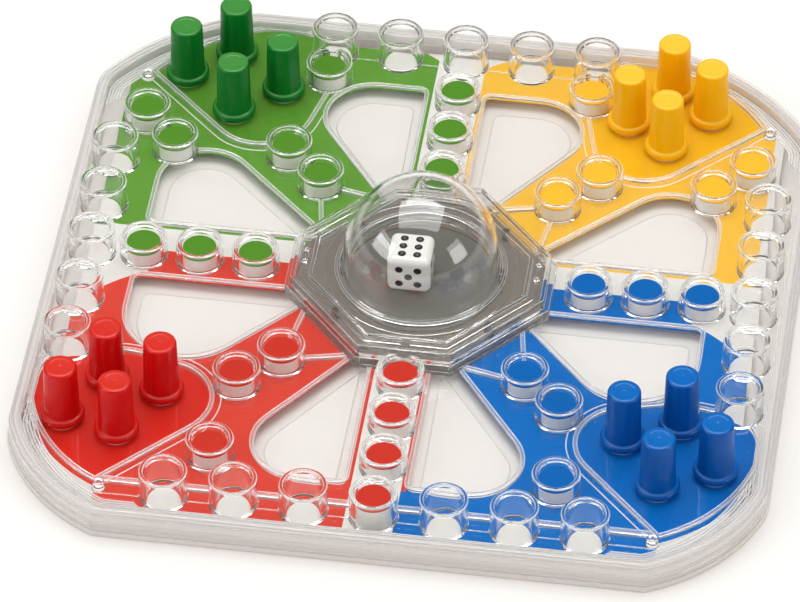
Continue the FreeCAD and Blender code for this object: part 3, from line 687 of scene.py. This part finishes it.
def beyond(tree, axis, limit):
    """1 where the distance from the case's middle along one axis is over a limit."""
    place = split_up(tree, coordinate(tree))[axis]
    return calculated(tree, "GREATER_THAN", calculated(tree, "ABSOLUTE", place), limit * MM)


def outside_circle(tree, centre, radius):
    """1 outside a circle about a centre in the back right quarter, and outside its mirror images."""
    absolute = vector_calculated(tree, "ABSOLUTE", coordinate(tree))["Vector"]
    flat = vector_calculated(tree, "MULTIPLY", absolute, (1.0, 1.0, 0.0))["Vector"]
    away = vector_calculated(tree, "DISTANCE", flat, (centre[0] * MM, centre[1] * MM, 0.0))["Value"]
    return calculated(tree, "GREATER_THAN", away, radius * MM)


def unprinted(tree, corner):
    """1 where a corner's card stays white: outside the home's bowed side, and along the case's side."""
    at_front = side_sign[corner][1] < 0
    past_tip = beyond(tree, "X" if at_front else "Y", home_tip[0])
    past_arc = outside_circle(tree, *(front_margin if at_front else back_margin))
    in_corner = calculated(tree, "MULTIPLY", past_arc, past_tip)
    return calculated(tree, "MAXIMUM", in_corner, beyond(tree, "X", print_reach[corner]))


def printed_card(name, colour, deep, corner=None):
    """Printed card: even ink with a fine grain, and a white margin if its corner is named."""
    material, tree, shader = plain_material(name)
    ink = two_shades(tree, colour, deep, 900.0, 5.0, 0.7)
    if corner:
        bare = two_shades(tree, (233, 229, 224), (226, 222, 217), 900.0, 5.0, 0.7)
        ink = mixed(tree, unprinted(tree, corner), ink, bare)
    feed(tree, shader, {
        "Base Color": ink, "Roughness": ranged(tree, noise(tree, 1500.0), 0.42, 0.58),
        "Specular IOR Level": 0.08, "Normal": waves(tree, 2500.0, 4.0, 0.12, 0.00004)})
    return material


def metal(name, colour, rough):
    material, tree, shader = plain_material(name)
    shade = patchy(tree, colour, 0.8, 500.0)
    worn = uneven(tree, rough, 0.7, 1.4, 900.0, 6.0)
    feed(tree, shader, {"Metallic": 1.0, "Base Color": shade, "Roughness": worn})
    return material


lid_clear = clear_plastic("lid_clear", ior=1.32)
rim_clear = clear_plastic("rim_clear", (0.955, 0.895, 0.865, 1.0), 0.04, 0.5, 0.5, 0.03)
socket_clear = clear_plastic("socket_clear", flow=0.05)
bead_clear = clear_plastic("bead_clear", (0.97, 0.96, 0.95, 1.0), clarity=0.88)
# Milky white clear plastic for rounded edges and fine lines: painted highlights in place of the glints of
# clear plastic.
painted_highlight_clear = clear_plastic("painted_highlight_clear", (0.95, 0.94, 0.93, 1.0), clarity=0.6)
housing_clear = clear_plastic("housing_clear", (0.955, 0.945, 0.93, 1.0), clarity=0.98, flow=0.05)
dome_clear = clear_plastic("dome_clear", rough=0.008)
# Each look is a clear plastic and the milky white that paints highlights on its edges.
bead_look = [bead_clear, painted_highlight_clear]
housing_look = [housing_clear, painted_highlight_clear]
# Tray: darker sides and a lighter colour on faces that look up, as painted shade and painted light.
tray_pale = painted_top_light_plastic("tray_pale", (222, 214, 207), (214, 206, 199), (242, 237, 232),
                              0.3, 0.1, 0.5, 0.3, 0.6)
panel_pale = glossy_plastic("panel_pale", (230, 226, 222), (225, 221, 217), rough=0.3, coat=0.1)
print_shades = {  # shade and deeper shade, of green, yellow, red and blue
    "card": ((102, 158, 56), (94, 150, 50), (252, 196, 70), (245, 188, 60),
             (226, 72, 56), (217, 63, 48), (0, 113, 198), (0, 104, 188)),
    "home": ((92, 150, 46), (84, 142, 40), (252, 192, 30), (246, 184, 24),
             (226, 44, 31), (217, 37, 26), (0, 110, 198), (0, 101, 187)),
    "disc": ((84, 138, 40), (76, 130, 34), (247, 186, 50), (240, 178, 42),
             (200, 52, 38), (191, 45, 32), (0, 98, 176), (0, 90, 166)),
}
prints = {(part, colour): printed_card("%s_%s_print" % (part, colour), *shades[2 * i:2 * i + 2],
                                       corner=colour if part == "card" else None)
          for part, shades in print_shades.items() for i, colour in enumerate(colours)}
strip_white = printed_card("strip_white_print", (238, 235, 230), (232, 229, 224))
tab_grey = glossy_plastic("tab_grey", (196, 190, 184), (186, 180, 174), rough=0.35, coat=0.0)
core_white = printed_card("core_white", (240, 237, 232), (234, 231, 226))
# Each peg: side colour, deeper shade, and a lighter top colour that paints the light falling on its top.
peg_shades = {
    "green": ((6, 116, 36), (0, 104, 28), (66, 140, 60)),
    "yellow": ((250, 186, 0), (242, 174, 0), (250, 196, 54)),
    "red": ((208, 14, 12), (196, 8, 8), (212, 46, 34)),
    "blue": ((0, 86, 170), (0, 76, 156), (0, 102, 184)),
}
peg_materials = {colour: painted_top_light_plastic("peg_%s_plastic" % colour, *shades, 0.25, 0.12, 0.2, 0.75, 0.97)
                 for colour, shades in peg_shades.items()}
plate_grey = glossy_plastic("plate_grey", (116, 108, 98), (109, 101, 91), 0.4, 0.0, sheen=0.3)
sheet_grey = glossy_plastic("sheet_grey", (110, 107, 101), (103, 100, 94), 0.35, 0.0, sheen=0.3)
die_white = glossy_plastic("die_white", (246, 245, 240), (240, 239, 234), rough=0.2)
pip_black = glossy_plastic("pip_black", (22, 20, 20), (14, 13, 13), rough=0.3, coat=0.1)
spring_metal = metal("spring_metal", (176, 178, 182), 0.25)
screw_metal = metal("screw_metal", (190, 188, 184), 0.3)


def dress(node, material):
    ob = frame["nodes"][node]
    ob.data.materials.clear()
    ob.data.materials.append(material)


# ---- lid: rim and deck
def rounded_open(corners, radii):
    """Like rounded, for a line whose ends stay as they are."""
    return rounded(corners, [0] + radii[1:-1] + [0], 3)


def groove(inset, z):
    """Shallow groove in a wall, from its upper edge down."""
    return [(inset, z + 0.3), (inset + 0.3, z + 0.15), (inset + 0.3, z - 0.15), (inset, z - 0.3)]


def rim_section():
    """Corners of the rim's and skirt's section as (inset, height), from the deck's top outward and back."""
    outer = skirt_inset + skirt_step
    bead = outer + rim_bead_width
    track = rim_top - rim_bead_height
    ridge = (rim_inner + bead) / 2
    ridge_in, ridge_out = ridge + track_ridge, ridge - track_ridge
    high, low, shelf = track + track_ridge, track - rim_wall, track + track_step
    step_in, under = rim_inner - track_step_width, rim_inner - rim_wall
    lip, inside = skirt_inset - foot_lip, skirt_inset + skirt_wall
    foot = foot_height + air_gap
    corners = [
        (rim_inner, deck_top), (rim_inner, shelf), (step_in, shelf), (step_in, track),
        (ridge_in, track), (ridge_in, high), (ridge_out, high), (ridge_out, track), (bead, track),
        (bead, rim_top), (outer, rim_top), *groove(outer, groove_heights[2]),
        (outer, skirt_step_height), (skirt_inset, skirt_step_height), *groove(skirt_inset, groove_heights[0]),
        (skirt_inset, foot_height + 2.2), (lip, foot_height + 1.9),
        (lip, foot), (inside, foot), (inside, lid_bottom), (outer + skirt_wall, lid_bottom),
        (outer + skirt_wall, low), (under, low), (under, lid_bottom),
    ]
    radii = [0, 0.3, 0.25, 0.12, 0.12, 0.15, 0.15, 0.12, 0.2, 0.4, 0.4, 0.06, 0.06, 0.06, 0.06, 0.25,
             0.25, 0.06, 0.06, 0.06, 0.06, 0.1, 0.1, 0.25, 0.25, 0, 0, 0.3, 0.3, 0]
    return rounded_open(corners, radii)


def peg_holes(colour):
    return [circle(*centre_of(node), bore_r, 40) for node in peg_nodes[colour]]


def lid_mesh():
    rim = loft([at_height(case_outline(inset), z) for inset, z in rim_section()], closed=False)
    holes = [hole for colour in colours for hole in peg_holes(colour)] + [octagon(well_ledge)]
    top = filled([case_outline(rim_inner)] + holes, deck_top)
    bottom = filled([case_outline(rim_inner - rim_wall)] + holes, lid_bottom)
    mesh = mesh_of(rim, top, bottom, *[wall(hole, lid_bottom, deck_top) for hole in holes])
    with_slots(mesh, 3)
    for polygon in mesh.polygons:
        z = polygon.center.z / MM
        # Deck faces stay clear; on the rim, bead tops and grooves take the milky white that paints bright
        # lines.
        on_highlight_line = z > rim_top - rim_bead_height + 0.2 or any(abs(z - h) < 0.32 for h in groove_heights)
        polygon.material_index = 0 if len(polygon.vertices) == 3 else 2 if on_highlight_line else 1
    return mesh


clear_piece("lid", lid_mesh(), [lid_clear, rim_clear, painted_highlight_clear], ["top_deck"])


# ---- sockets
def block(outline, top=tall_top, bottom=deck_bottom):
    """Room that other pieces are cut away from."""
    return prism(outline, bottom, top)


def cut(mesh, shapes):
    for shape in shapes:
        mesh = combined(mesh, mesh_of(shape), "DIFFERENCE")
    return mesh


def housing_block():
    """Room that the dice housing takes, and a little more."""
    return block(octagon(-cut_play, 0.1))


def tall_blocks(x, y):
    """Room that a tall socket takes beside a short one."""
    near = [p for p in tall_places if 0 < math.hypot(p[0] - x, p[1] - y) < 2 * socket_r]
    return [block(circle(*p, socket_r + cut_play, 72), tall_top + 1) for p in near]


def ring(x, y, top):
    """Tube with a rolled mouth and a small foot."""
    corners = [(bore_r, stand), (socket_r + 0.25, stand), (socket_r, stand + 0.7), (socket_r, top),
               (bore_r + 0.6, top), (bore_r + 0.6, top - 1.1), (bore_r, top - 1.4)]
    return lathe(rounded(corners, [0.3, 0.12, 0.4, 0.75, 0.5, 0.2, 0.2], 5), x, y, 64)


def core(x, y, top):
    """White plug that fills a cup socket below its coloured disc."""
    return turned_solid(rounded_open(rectangle(0, stand, floor_disc_r, top), [0, 0.3, 0.1, 0]), x, y, 48)


def fitted(shape, x, y, is_short):
    mesh = mesh_of(shape)
    blocks = tall_blocks(x, y) if is_short else []
    if math.hypot(x, y) < housing_half_x + socket_r:
        blocks.append(housing_block())
    return cut(mesh, blocks)


def marked_above(mesh, z, low_slope=-2.0, high_slope=2.0):
    """The mesh with its faces above height z, and with normals between two slopes, in the second material."""
    with_slots(mesh, 2)
    for polygon in mesh.polygons:
        is_marked = polygon.center.z > z * MM and low_slope < polygon.normal.z < high_slope
        polygon.material_index = 1 if is_marked else 0
    return mesh


def painted_edge_highlights(mesh, z):
    """The mesh with its rounded upper edges above height z in the second material, the milky white that
    paints highlights along them.
    """
    return marked_above(mesh, z, 0.3, 0.93)


def merged(meshes):
    bm = bmesh.new()
    for mesh in meshes:
        bm.from_mesh(mesh)
    return written(bm)


for node in socket_nodes:
    rings = []
    cores = []
    for (x, y, top), depth in socket_places(node):
        is_short = top < tall_top - 1
        # Rounded edges of each ring's mouth get painted highlights.
        rings.append(painted_edge_highlights(fitted(ring(x, y, top), x, y, is_short), top - 0.9))
        if depth < top - deck_top - 1:
            cores.append(fitted(core(x, y, top - depth - floor_disc_thickness - air_gap), x, y, is_short))
    clear_piece(node + "_rings", merged(rings), [socket_clear, painted_highlight_clear], [node])
    if cores:
        piece(node + "_cores", merged(cores), [core_white], "case")


# ---- beads and ribs on the deck
def grooved_section(width, top, depth):
    """Flat bar with a shallow groove along its top, so that its two edges catch the light; where it is used,
    its lips also get painted highlights.
    """
    half = width / 2
    lip = width * 0.24
    low, inner = top - depth, half - lip
    edge, nook = lip * 0.45, lip * 0.3
    corners = [(-half, stand), (half, stand), (half, top), (inner, top), (inner, low), (-inner, low),
               (-inner, top), (-half, top)]
    return rounded(corners, [0, 0, edge, edge, nook, nook, edge, edge], 3)


def ring_blocks():
    """Room for the tall sockets, the short ones, the posts and the housing."""
    tall, short = [joined([block(circle(x, y, socket_r + cut_play, 72), top + 1) for x, y, top in sockets
                           if (top > tall_top - 1) == is_tall]) for is_tall in (True, False)]
    posts = joined([block(circle(x, y, post_r + cut_play, 32)) for x, y in post_places])
    return [tall, short, posts, housing_block()]


def bead_block(outlines):
    """Room that beads round some outlines take, and all that they enclose."""
    return joined([block(offset(outline, bead_width / 2 + cut_play)) for outline in outlines])


def outline_blocks():
    return [bead_block(windows()), bead_block(homes())]


def inside_rim(mesh):
    return combined(mesh, mesh_of(block(case_outline(rim_inner + cut_play))), "INTERSECT")


def bead_mesh(outlines, top, depth, lip, ends_at_rim=False):
    """Grooved beads round some outlines, their lips in the second material, the milky white that paints
    highlight lines.
    """
    section = grooved_section(bead_width, top, depth)
    beads = mesh_of(*[swept(outline, section) for outline in outlines])
    if ends_at_rim:
        beads = inside_rim(beads)
    return marked_above(cut(beads, ring_blocks()), top - lip)


def home_line_mesh():
    """Fine raised line that runs round a home a little way outside its bead."""
    section = bead_section(0.5, stand, deck_top + 0.3, 0.4)
    lines = [swept(offset(outline, home_line_gap), section) for outline in homes()]
    return cut(inside_rim(mesh_of(*lines)), ring_blocks() + [bead_block(windows())])


def rib_mesh(bars):
    # Rib tops take the milky white that paints highlight lines.
    return marked_above(cut(mesh_of(*bars), ring_blocks() + outline_blocks()), rail_top - 0.12)


def long_rib_mesh():
    rail = grooved_section(rail_width, rail_top, 0.3)
    guide = bead_section(guide_line_width, stand, deck_top + guide_line_height, 0.3)
    lines = ((front_post[0], rail_y, rail), (*guide_line_front, guide), (*guide_line_back, guide))
    return rib_mesh([bar((-half, y), (half, y), section) for half, y, section in lines])


def vee_mesh(side):
    """One rib of each pair that runs from an innermost socket to the dice housing."""
    section = grooved_section(vee_width, rail_top, 0.3)
    bars = []
    for colour in colours:
        x, y = socket_places("sockets_diagonal_" + colour)[1][0][:2]
        angle = math.atan2(-y, -x) + side * math.radians(vee_spread)
        end = (x + vee_length * math.cos(angle), y + vee_length * math.sin(angle))
        bars.append(bar((x, y), end, section))
    return rib_mesh(bars)


def ledge_mesh():
    """Fine steps that follow the rim in the corners outside the homes."""
    section = [(-0.4, stand), (0.4, stand), (0.28, deck_top + 0.4), (-0.28, deck_top + 0.4)]
    insets = [rim_inner + 0.7 + ledge_pitch * i for i in range(ledge_count)]
    lines = [swept(case_outline(inset), section) for inset in insets]
    corner = [(far_away, ledge_edge), (ledge_edge, far_away), (far_away, far_away)]
    keep = [block(turned([(sx * x, sy * y) for x, y in corner])) for sx in (-1, 1) for sy in (-1, 1)]
    mesh = combined(mesh_of(*lines), mesh_of(*keep), "INTERSECT")
    return cut(mesh, ring_blocks() + outline_blocks())


def post_mesh():
    """Short tubes at the tips of the homes."""
    section = rounded(rectangle(post_r - 0.9, stand, post_r, deck_top + post_rise), [0, 0, 0.4, 0.4], 4)
    return mesh_of(*[lathe(section, x, y, 32) for x, y in post_places])


window_beads = bead_mesh(windows(), window_bead_top, 0.22, 0.09)
home_beads = bead_mesh(homes(), home_bead_top, 0.3, 0.12, ends_at_rim=True)
clear_piece("window_bead_frames", window_beads, bead_look, ["window_beads"])
clear_piece("home_bead_frames", home_beads, bead_look, ["home_beads"])
# These fine lines are all in the milky white that paints bright lines.
clear_piece("home_outer_lines", home_line_mesh(), [painted_highlight_clear])
clear_piece("long_ribs", long_rib_mesh(), bead_look, ["deck_ribs"])
for side, name in ((-1, "left"), (1, "right")):
    clear_piece("vee_ribs_" + name, vee_mesh(side), bead_look)
# Corner steps in the milky white that paints bright lines.
clear_piece("corner_ledges", ledge_mesh(), [painted_highlight_clear])
clear_piece("home_tip_posts", post_mesh(), [socket_clear])

# ---- tray, cards, strips, discs
dress("base_tray", tray_pale)
for colour in colours:
    dress("card_" + colour, prints["card", colour])
    dress("lane_discs_" + colour, prints["disc", colour])
dress("lane_strips", strip_white)
dress("popper_plate", plate_grey)
dress("strike_sheet", sheet_grey)
dress("spring_rivet", screw_metal)
dress("frame_screws", screw_metal)


# ---- bow spring
def spring_mesh():
    """Leaf that lies flat on its pad in the middle, with both ends bent up to the dome's legs."""
    low = spring_low / MM
    rise = spring_high - low - spring_thickness
    bend = bow_radius(2 * (spring_reach - spring_flat), rise)
    loops = []
    for i in range(-spring_steps, spring_steps + 1):
        x = spring_reach * i / spring_steps
        past = max(0.0, abs(x) - spring_flat)
        z = low + bend - math.sqrt(bend * bend - past * past)
        edge = rectangle(-spring_half_width, z, spring_half_width, z + spring_thickness)
        loops.append([(x, *corner) for corner in edge])
    return mesh_of(capped(loops))


spring_leaf = piece("bow_spring_leaf", spring_mesh(), [spring_metal], "case", ["bow_spring"])
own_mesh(spring_leaf)


# ---- dice housing
def housing_mesh():
    channel_out = housing_step + housing_bead
    channel_in = channel_out + channel_width
    floor = housing_top - channel_depth
    inside = housing_step + housing_wall
    bead_in = channel_in + housing_bead
    corners = [
        (inside, flange_bottom), (inside, stand), (0, stand), (0, housing_step_top),
        (housing_step, housing_step_top), (housing_step, housing_top), (channel_out, housing_top),
        (channel_out, floor), (channel_in, floor), (channel_in, housing_top), (bead_in, housing_top),
        (bead_in, flange_top),
    ]
    section = rounded_open(corners, [0, 0.2, 0.3, 0.5, 0.3, 0.5, 0.5, 0.3, 0.3, 0.5, 0.5, 0])
    walls = loft([at_height(octagon(inset), z) for inset, z in section], closed=False)
    opening = circle(0, 0, dome_flange_r + 0.3, 96)
    top = filled([octagon(bead_in), opening], flange_top)
    under = filled([octagon(inside), opening], flange_bottom)
    edge = wall(opening, flange_bottom, flange_top)
    # Rounded upper edges of the housing get painted highlights.
    return painted_edge_highlights(mesh_of(walls, top, under, edge), housing_step_top - 1)


def housing_details():
    """Fine raised lines and small lugs on the housing's top, each standing just clear of it."""
    on_top = flange_top + air_gap
    in_track = housing_top - channel_depth + air_gap
    top_line = rectangle(top_line_r, on_top, top_line_r + 0.6, on_top + 0.4)
    circle_line = rounded(top_line, [0, 0, 0.15, 0.15], 3)
    track_line = bead_section(0.5, in_track, in_track + 0.35, 0.4)
    track_edge = housing_step + housing_bead
    bridge_y = track_edge + 0.1 - housing_half_y
    bridge = rounded(rectangle(-bridge_width / 2, bridge_y, bridge_width / 2, bridge_y + channel_width - 0.2),
                     [0.3] * 4, 3)
    knob = rounded(rectangle(knob_bore_r, in_track, knob_r, housing_top), [0, 0, 0.25, 0.2], 3)
    lines = mesh_of(lathe(circle_line, steps=128))
    track = cut(mesh_of(swept(octagon(track_edge + channel_width / 2), track_line)),
                [block(circle(x, y, knob_r + 0.1, 24), bottom=deck_top) for x, y in knob_places] +
                [block(offset(turned(bridge), cut_play), bottom=deck_top)])
    lugs = mesh_of(prism(bridge, in_track, housing_top - bridge_drop),
                   *[lathe(knob, x, y, 24) for x, y in knob_places])
    return merged([lines, track, lugs])


clear_piece("dice_housing", housing_mesh(), housing_look, ["popper_frame"])
clear_piece("dice_housing_lugs", housing_details(), [housing_clear])


def dome_ring_mesh():
    """Retaining ring with two grooves round its top."""
    inner = dome_r + dome_taper + 0.3
    bottom = flange_top + air_gap
    top = flange_top + ring_height
    third = (ring_outer_r - inner) / 3
    ridge_in, ridge_out = inner + third, ring_outer_r - third
    corners = [(inner, bottom), (ring_outer_r, bottom), (ring_outer_r, top - 0.7), (ridge_out, top - 0.7),
               (ridge_out, top - 0.1), (ridge_in, top - 0.1), (ridge_in, top - 0.35),
               (inner + 0.1, top - 0.35)]
    radii = [0.15, 0.15, 0.3, 0.15, 0.25, 0.25, 0.1, 0.2]
    # Rounded edges of the ring get painted highlights.
    return painted_edge_highlights(mesh_of(lathe(rounded(corners, radii, 4), steps=128)), bottom)


clear_piece("dome_retaining_ring", dome_ring_mesh(), housing_look, ["dome_ring"])


# ---- dome
def dome_arc(radius, steps=40):
    """From the top down."""
    angles = [math.pi / 2 * i / steps for i in range(steps + 1)]
    return [(radius * math.sin(a), dome_centre + radius * math.cos(a)) for a in angles]


def dome_mesh():
    foot = dome_r + dome_taper
    flange = [(foot, flange_top + 0.3), (foot + 0.3, flange_top), (dome_flange_r - 0.2, flange_top),
              (dome_flange_r, flange_top - 0.2), (dome_flange_r, flange_bottom + 0.2),
              (dome_flange_r - 0.2, flange_bottom), (foot - dome_wall, flange_bottom)]
    section = dome_arc(dome_r) + flange + dome_arc(dome_r - dome_wall)[::-1]
    mesh = mesh_of(turned_solid(section, steps=128))
    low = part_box("dome")[0].z / MM
    legs = []
    half = leg_thickness / 2
    for x in (-leg_radius, leg_radius):
        outline = rounded(rectangle(x - half, -leg_width / 2, x + half, leg_width / 2), [0.4] * 4, 3)
        legs.append(prism(outline, low, flange_bottom + 0.4))
    return combined(mesh, mesh_of(*legs), "UNION")


piece("dome_shell", dome_mesh(), [dome_clear], "dome", ["dome"])


# ---- die
def pip_layout(value):
    s = pip_spacing
    diagonal = [(-s, -s), (s, s)]
    other = [(s, -s), (-s, s)]
    a, b = six_spacing
    six = [(x, y) for x in (-a, a) for y in (-b, 0, b)]
    return {1: [(0, 0)], 2: diagonal, 3: diagonal + [(0, 0)], 4: diagonal + other,
            5: diagonal + other + [(0, 0)], 6: six}[value]


def die_mesh():
    bm = bmesh.new()
    bmesh.ops.create_cube(bm, size=die_side * MM)
    bmesh.ops.bevel(bm, geom=bm.edges[:], offset=die_round * MM, segments=8, profile=0.5, affect="EDGES")
    mesh = written(bm)
    turns = {6: ("X", 0), 1: ("X", 180), 5: ("X", 90), 2: ("X", -90), 4: ("Y", 90), 3: ("Y", -90)}
    ball_height = die_side / 2 + math.sqrt(pip_ball_r * pip_ball_r - pip_r * pip_r)
    bm = bmesh.new()
    for value, (axis, angle) in turns.items():
        for x, y in pip_layout(value):
            turn = Matrix.Rotation(math.radians(angle), 4, axis)
            place = turn @ Matrix.Translation((x * MM, y * MM, ball_height * MM))
            bmesh.ops.create_uvsphere(bm, u_segments=24, v_segments=16, radius=pip_ball_r * MM, matrix=place)
    tool = written(bm)
    for part in (mesh, tool):
        with_slots(part, 2)
    for polygon in tool.polygons:
        polygon.material_index = 1
    result = combined(mesh, tool, "DIFFERENCE")
    low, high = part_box("die")
    centre = (low + high) / 2
    result.transform(Matrix.Translation(centre) @ Matrix.Rotation(math.radians(die_turn), 4, "Z"))
    return result


piece("die_body", die_mesh(), [die_white, pip_black], "die", ["die"], sharp=30.0)


# ---- pegs
def peg_section(low, top):
    """Half section of a peg from the axis at its foot to the axis at its top."""
    flange = deck_top + peg_flange_height
    corners = [(0, low), (peg_stub_r, low), (peg_stub_r, stand), (peg_flange_r, stand),
               (peg_flange_r, flange), (peg_low_r, flange), (peg_top_r, top), (peg_dish_r, top),
               (peg_dish_r - 0.4, top - 0.12), (peg_mark_r, top - 0.16), (0, top - 0.3)]
    return rounded_open(corners, [0, 0.6, 0.1, 1.0, 1.2, 0.5, 1.0, 0.1, 0.1, 0.1, 0])


for colour in colours:
    for node in peg_nodes[colour]:
        low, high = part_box(node)
        shape = turned_solid(peg_section(low.z / MM, high.z / MM), *centre_of(node), 56)
        piece(node + "_body", mesh_of(shape), [peg_materials[colour]], node, [node],
              sharp=50.0, weighted=False)


# ---- deeper print inside the homes
def home_panel_mesh(colour):
    outline = offset(home_outline(colour), -bead_width / 2)
    plate = plate_with_holes(outline, peg_holes(colour), deck_bottom + 0.01, deck_bottom + 0.03)
    limit = prism(case_outline(rim_inner), deck_bottom - 1, deck_bottom + 1)
    return combined(mesh_of(plate), mesh_of(limit), "INTERSECT")


for colour in colours:
    piece("home_panel_" + colour, home_panel_mesh(colour), [prints["home", colour]], "case",
          weighted=False)


# ---- what shows through the windows and skirt
def window_panel_mesh():
    """Shallow raised outlines in the tray's floor, seen through the windows."""
    low = tray_floor + 0.02
    section = [(-0.3, low), (0.3, low), (0.15, low + 0.25), (-0.15, low + 0.25)]
    lines = []
    for colour in colours:
        for beside_side in (False, True):
            outline = window_outline(colour, beside_side, window_corner_round + panel_inset)
            lines.append(swept(offset(outline, -panel_inset), section))
    return mesh_of(*lines)


def skirt_tab_mesh():
    """Small locating tabs between the skirt and the tray where each straight side meets a bowed corner."""
    y = case_half_y - skirt_inset - skirt_wall - 0.05
    tab = rectangle(-skirt_tab_half, y, skirt_tab_half, y - skirt_tab_depth)
    tabs = [[(sx * crease + tx, sy * ty) for tx, ty in tab]
            for crease, sy in ((front_crease_x, -1), (back_crease_x, 1)) for sx in (-1, 1)]
    return mesh_of(*[prism(outline, foot_height + 0.1, deck_bottom) for outline in tabs])


piece("window_panel_lines", window_panel_mesh(), [panel_pale], "case")
piece("skirt_tabs", skirt_tab_mesh(), [tab_grey], "case")


# ---- floor, light, camera; metres from here on
floor_half = 6.0
floor_drop = 0.0002  # so that the feet and the floor do not lie in one plane
lamp_aims = {  # place, target, size, power
    "overhead": ((-0.05, 0.42, 1.45), (-0.05, 0.1, 0), (1.1, 0.8), 9.8),
    "left": ((-1.25, -0.7, 0.75), (0, 0, 0), (0.9, 0.6), 4.4),
    "right": ((1.25, -0.5, 0.6), (0, 0, 0), (0.6, 0.5), 2.4),
}
card_aims = {  # place, target, size, strength
    "overhead_back_card": ((-0.05, 0.62, 1.42), (-0.05, 0.62, 0), (1.6, 0.42), 5.0),
    "overhead_front_card": ((-0.05, -0.04, 1.42), (-0.05, -0.04, 0), (1.6, 0.84), 3.4),
    "left_card": ((-1.3, -0.75, 0.6), (0, 0, 0.05), (0.95, 0.6), 5.0),
    "right_card": ((1.3, -0.5, 0.4), (0, 0, 0.05), (0.6, 0.5), 5.0),
}
camera_place = (0.237105, -1.689519, 1.637030)
camera_right = Vector((0.98980, 0.14246, -0.00106))
camera_forward = Vector((-0.10348, 0.71382, -0.69264))


def add_sheet(name, half_x, half_y, material):
    mesh = bpy.data.meshes.new(name)
    corners = rectangle(-half_x, -half_y, half_x, half_y)
    mesh.from_pydata([(x, y, 0) for x, y in corners], [], [(0, 1, 2, 3)])
    mesh.materials.append(material)
    return add_object(name, mesh)


def aim(ob, place, target):
    ob.location = place
    ob.rotation_euler = (Vector(target) - Vector(place)).to_track_quat("-Z", "Y").to_euler()


def add_lamp(name, place, target, size, power):
    data = bpy.data.lights.new(name, "AREA")
    data.shape = "RECTANGLE"
    data.size, data.size_y = size
    data.energy = power
    aim(add_object(name, data), place, target)


def add_reflected_card(name, place, target, size, strength):
    """Soft box front that only shows where plastic mirrors or bends the view; other light passes it."""
    material, tree, output = new_material(name)
    through = add_node(tree, "BsdfTransparent").outputs["BSDF"]
    glow = add_node(tree, "Emission", {"Strength": strength}).outputs["Emission"]
    mirrored = either_ray(tree, "Glossy", "Transmission")
    feed(tree, output, {"Surface": switched(tree, mirrored, through, glow)})
    ob = add_sheet(name, size[0] / 2, size[1] / 2, material)
    aim(ob, place, target)


floor_white, floor_tree, floor_shader = plain_material("floor_white")
feed(floor_tree, floor_shader,
     {"Base Color": (0.92, 0.888, 0.866, 1.0), "Roughness": 0.9, "Specular IOR Level": 0.0})
floor = add_sheet("floor", floor_half, floor_half, floor_white)
floor.location.z = -floor_drop
for name, aimed in lamp_aims.items():
    add_lamp(name, *aimed)
for name, aimed in card_aims.items():
    add_reflected_card(name, *aimed)

world = bpy.data.worlds.new("studio")
scene.world = world
world.use_nodes = True
tree = world.node_tree
tree.nodes.clear()
ramp = add_node(tree, "ValToRGB", {"Fac": split_up(tree, coordinate(tree, "Generated"))["Z"]})
shades = ((0.0, (0.70, 0.70, 0.70, 1.0)), (0.75, (0.95, 0.95, 0.94, 1.0)))
for element, (position, shade) in zip(ramp.color_ramp.elements, shades):
    element.position = position
    element.color = shade
path = add_node(tree, "LightPath").outputs
room_strength = ranged(tree, path["Is Glossy Ray"], 0.82, 0.12)
room = add_node(tree, "Background", {"Color": ramp.outputs["Color"], "Strength": room_strength})
seen = add_node(tree, "Background", {"Color": (1, 1, 1, 1), "Strength": 1.0})
surface = switched(tree, path["Is Camera Ray"], room.outputs["Background"], seen.outputs["Background"])
add_node(tree, "OutputWorld", {"Surface": surface})

camera_data = bpy.data.cameras.new("camera")
camera_data.lens = 290.41
camera_data.sensor_width = 36.0
camera_data.clip_end = 50.0
camera = add_object("camera", camera_data)
camera_up = camera_right.cross(camera_forward).normalized()
camera_right = camera_forward.cross(camera_up).normalized()
camera_axes = Matrix((camera_right, camera_up, -camera_forward.normalized())).transposed().to_4x4()
camera.matrix_world = Matrix.Translation(camera_place) @ camera_axes
scene.camera = camera

scene.view_settings.view_transform = "Standard"
scene.cycles.max_bounces = 24
scene.cycles.transmission_bounces = 20
scene.cycles.transparent_max_bounces = 24
scene.cycles.glossy_bounces = 8
scene.cycles.caustics_refractive = False
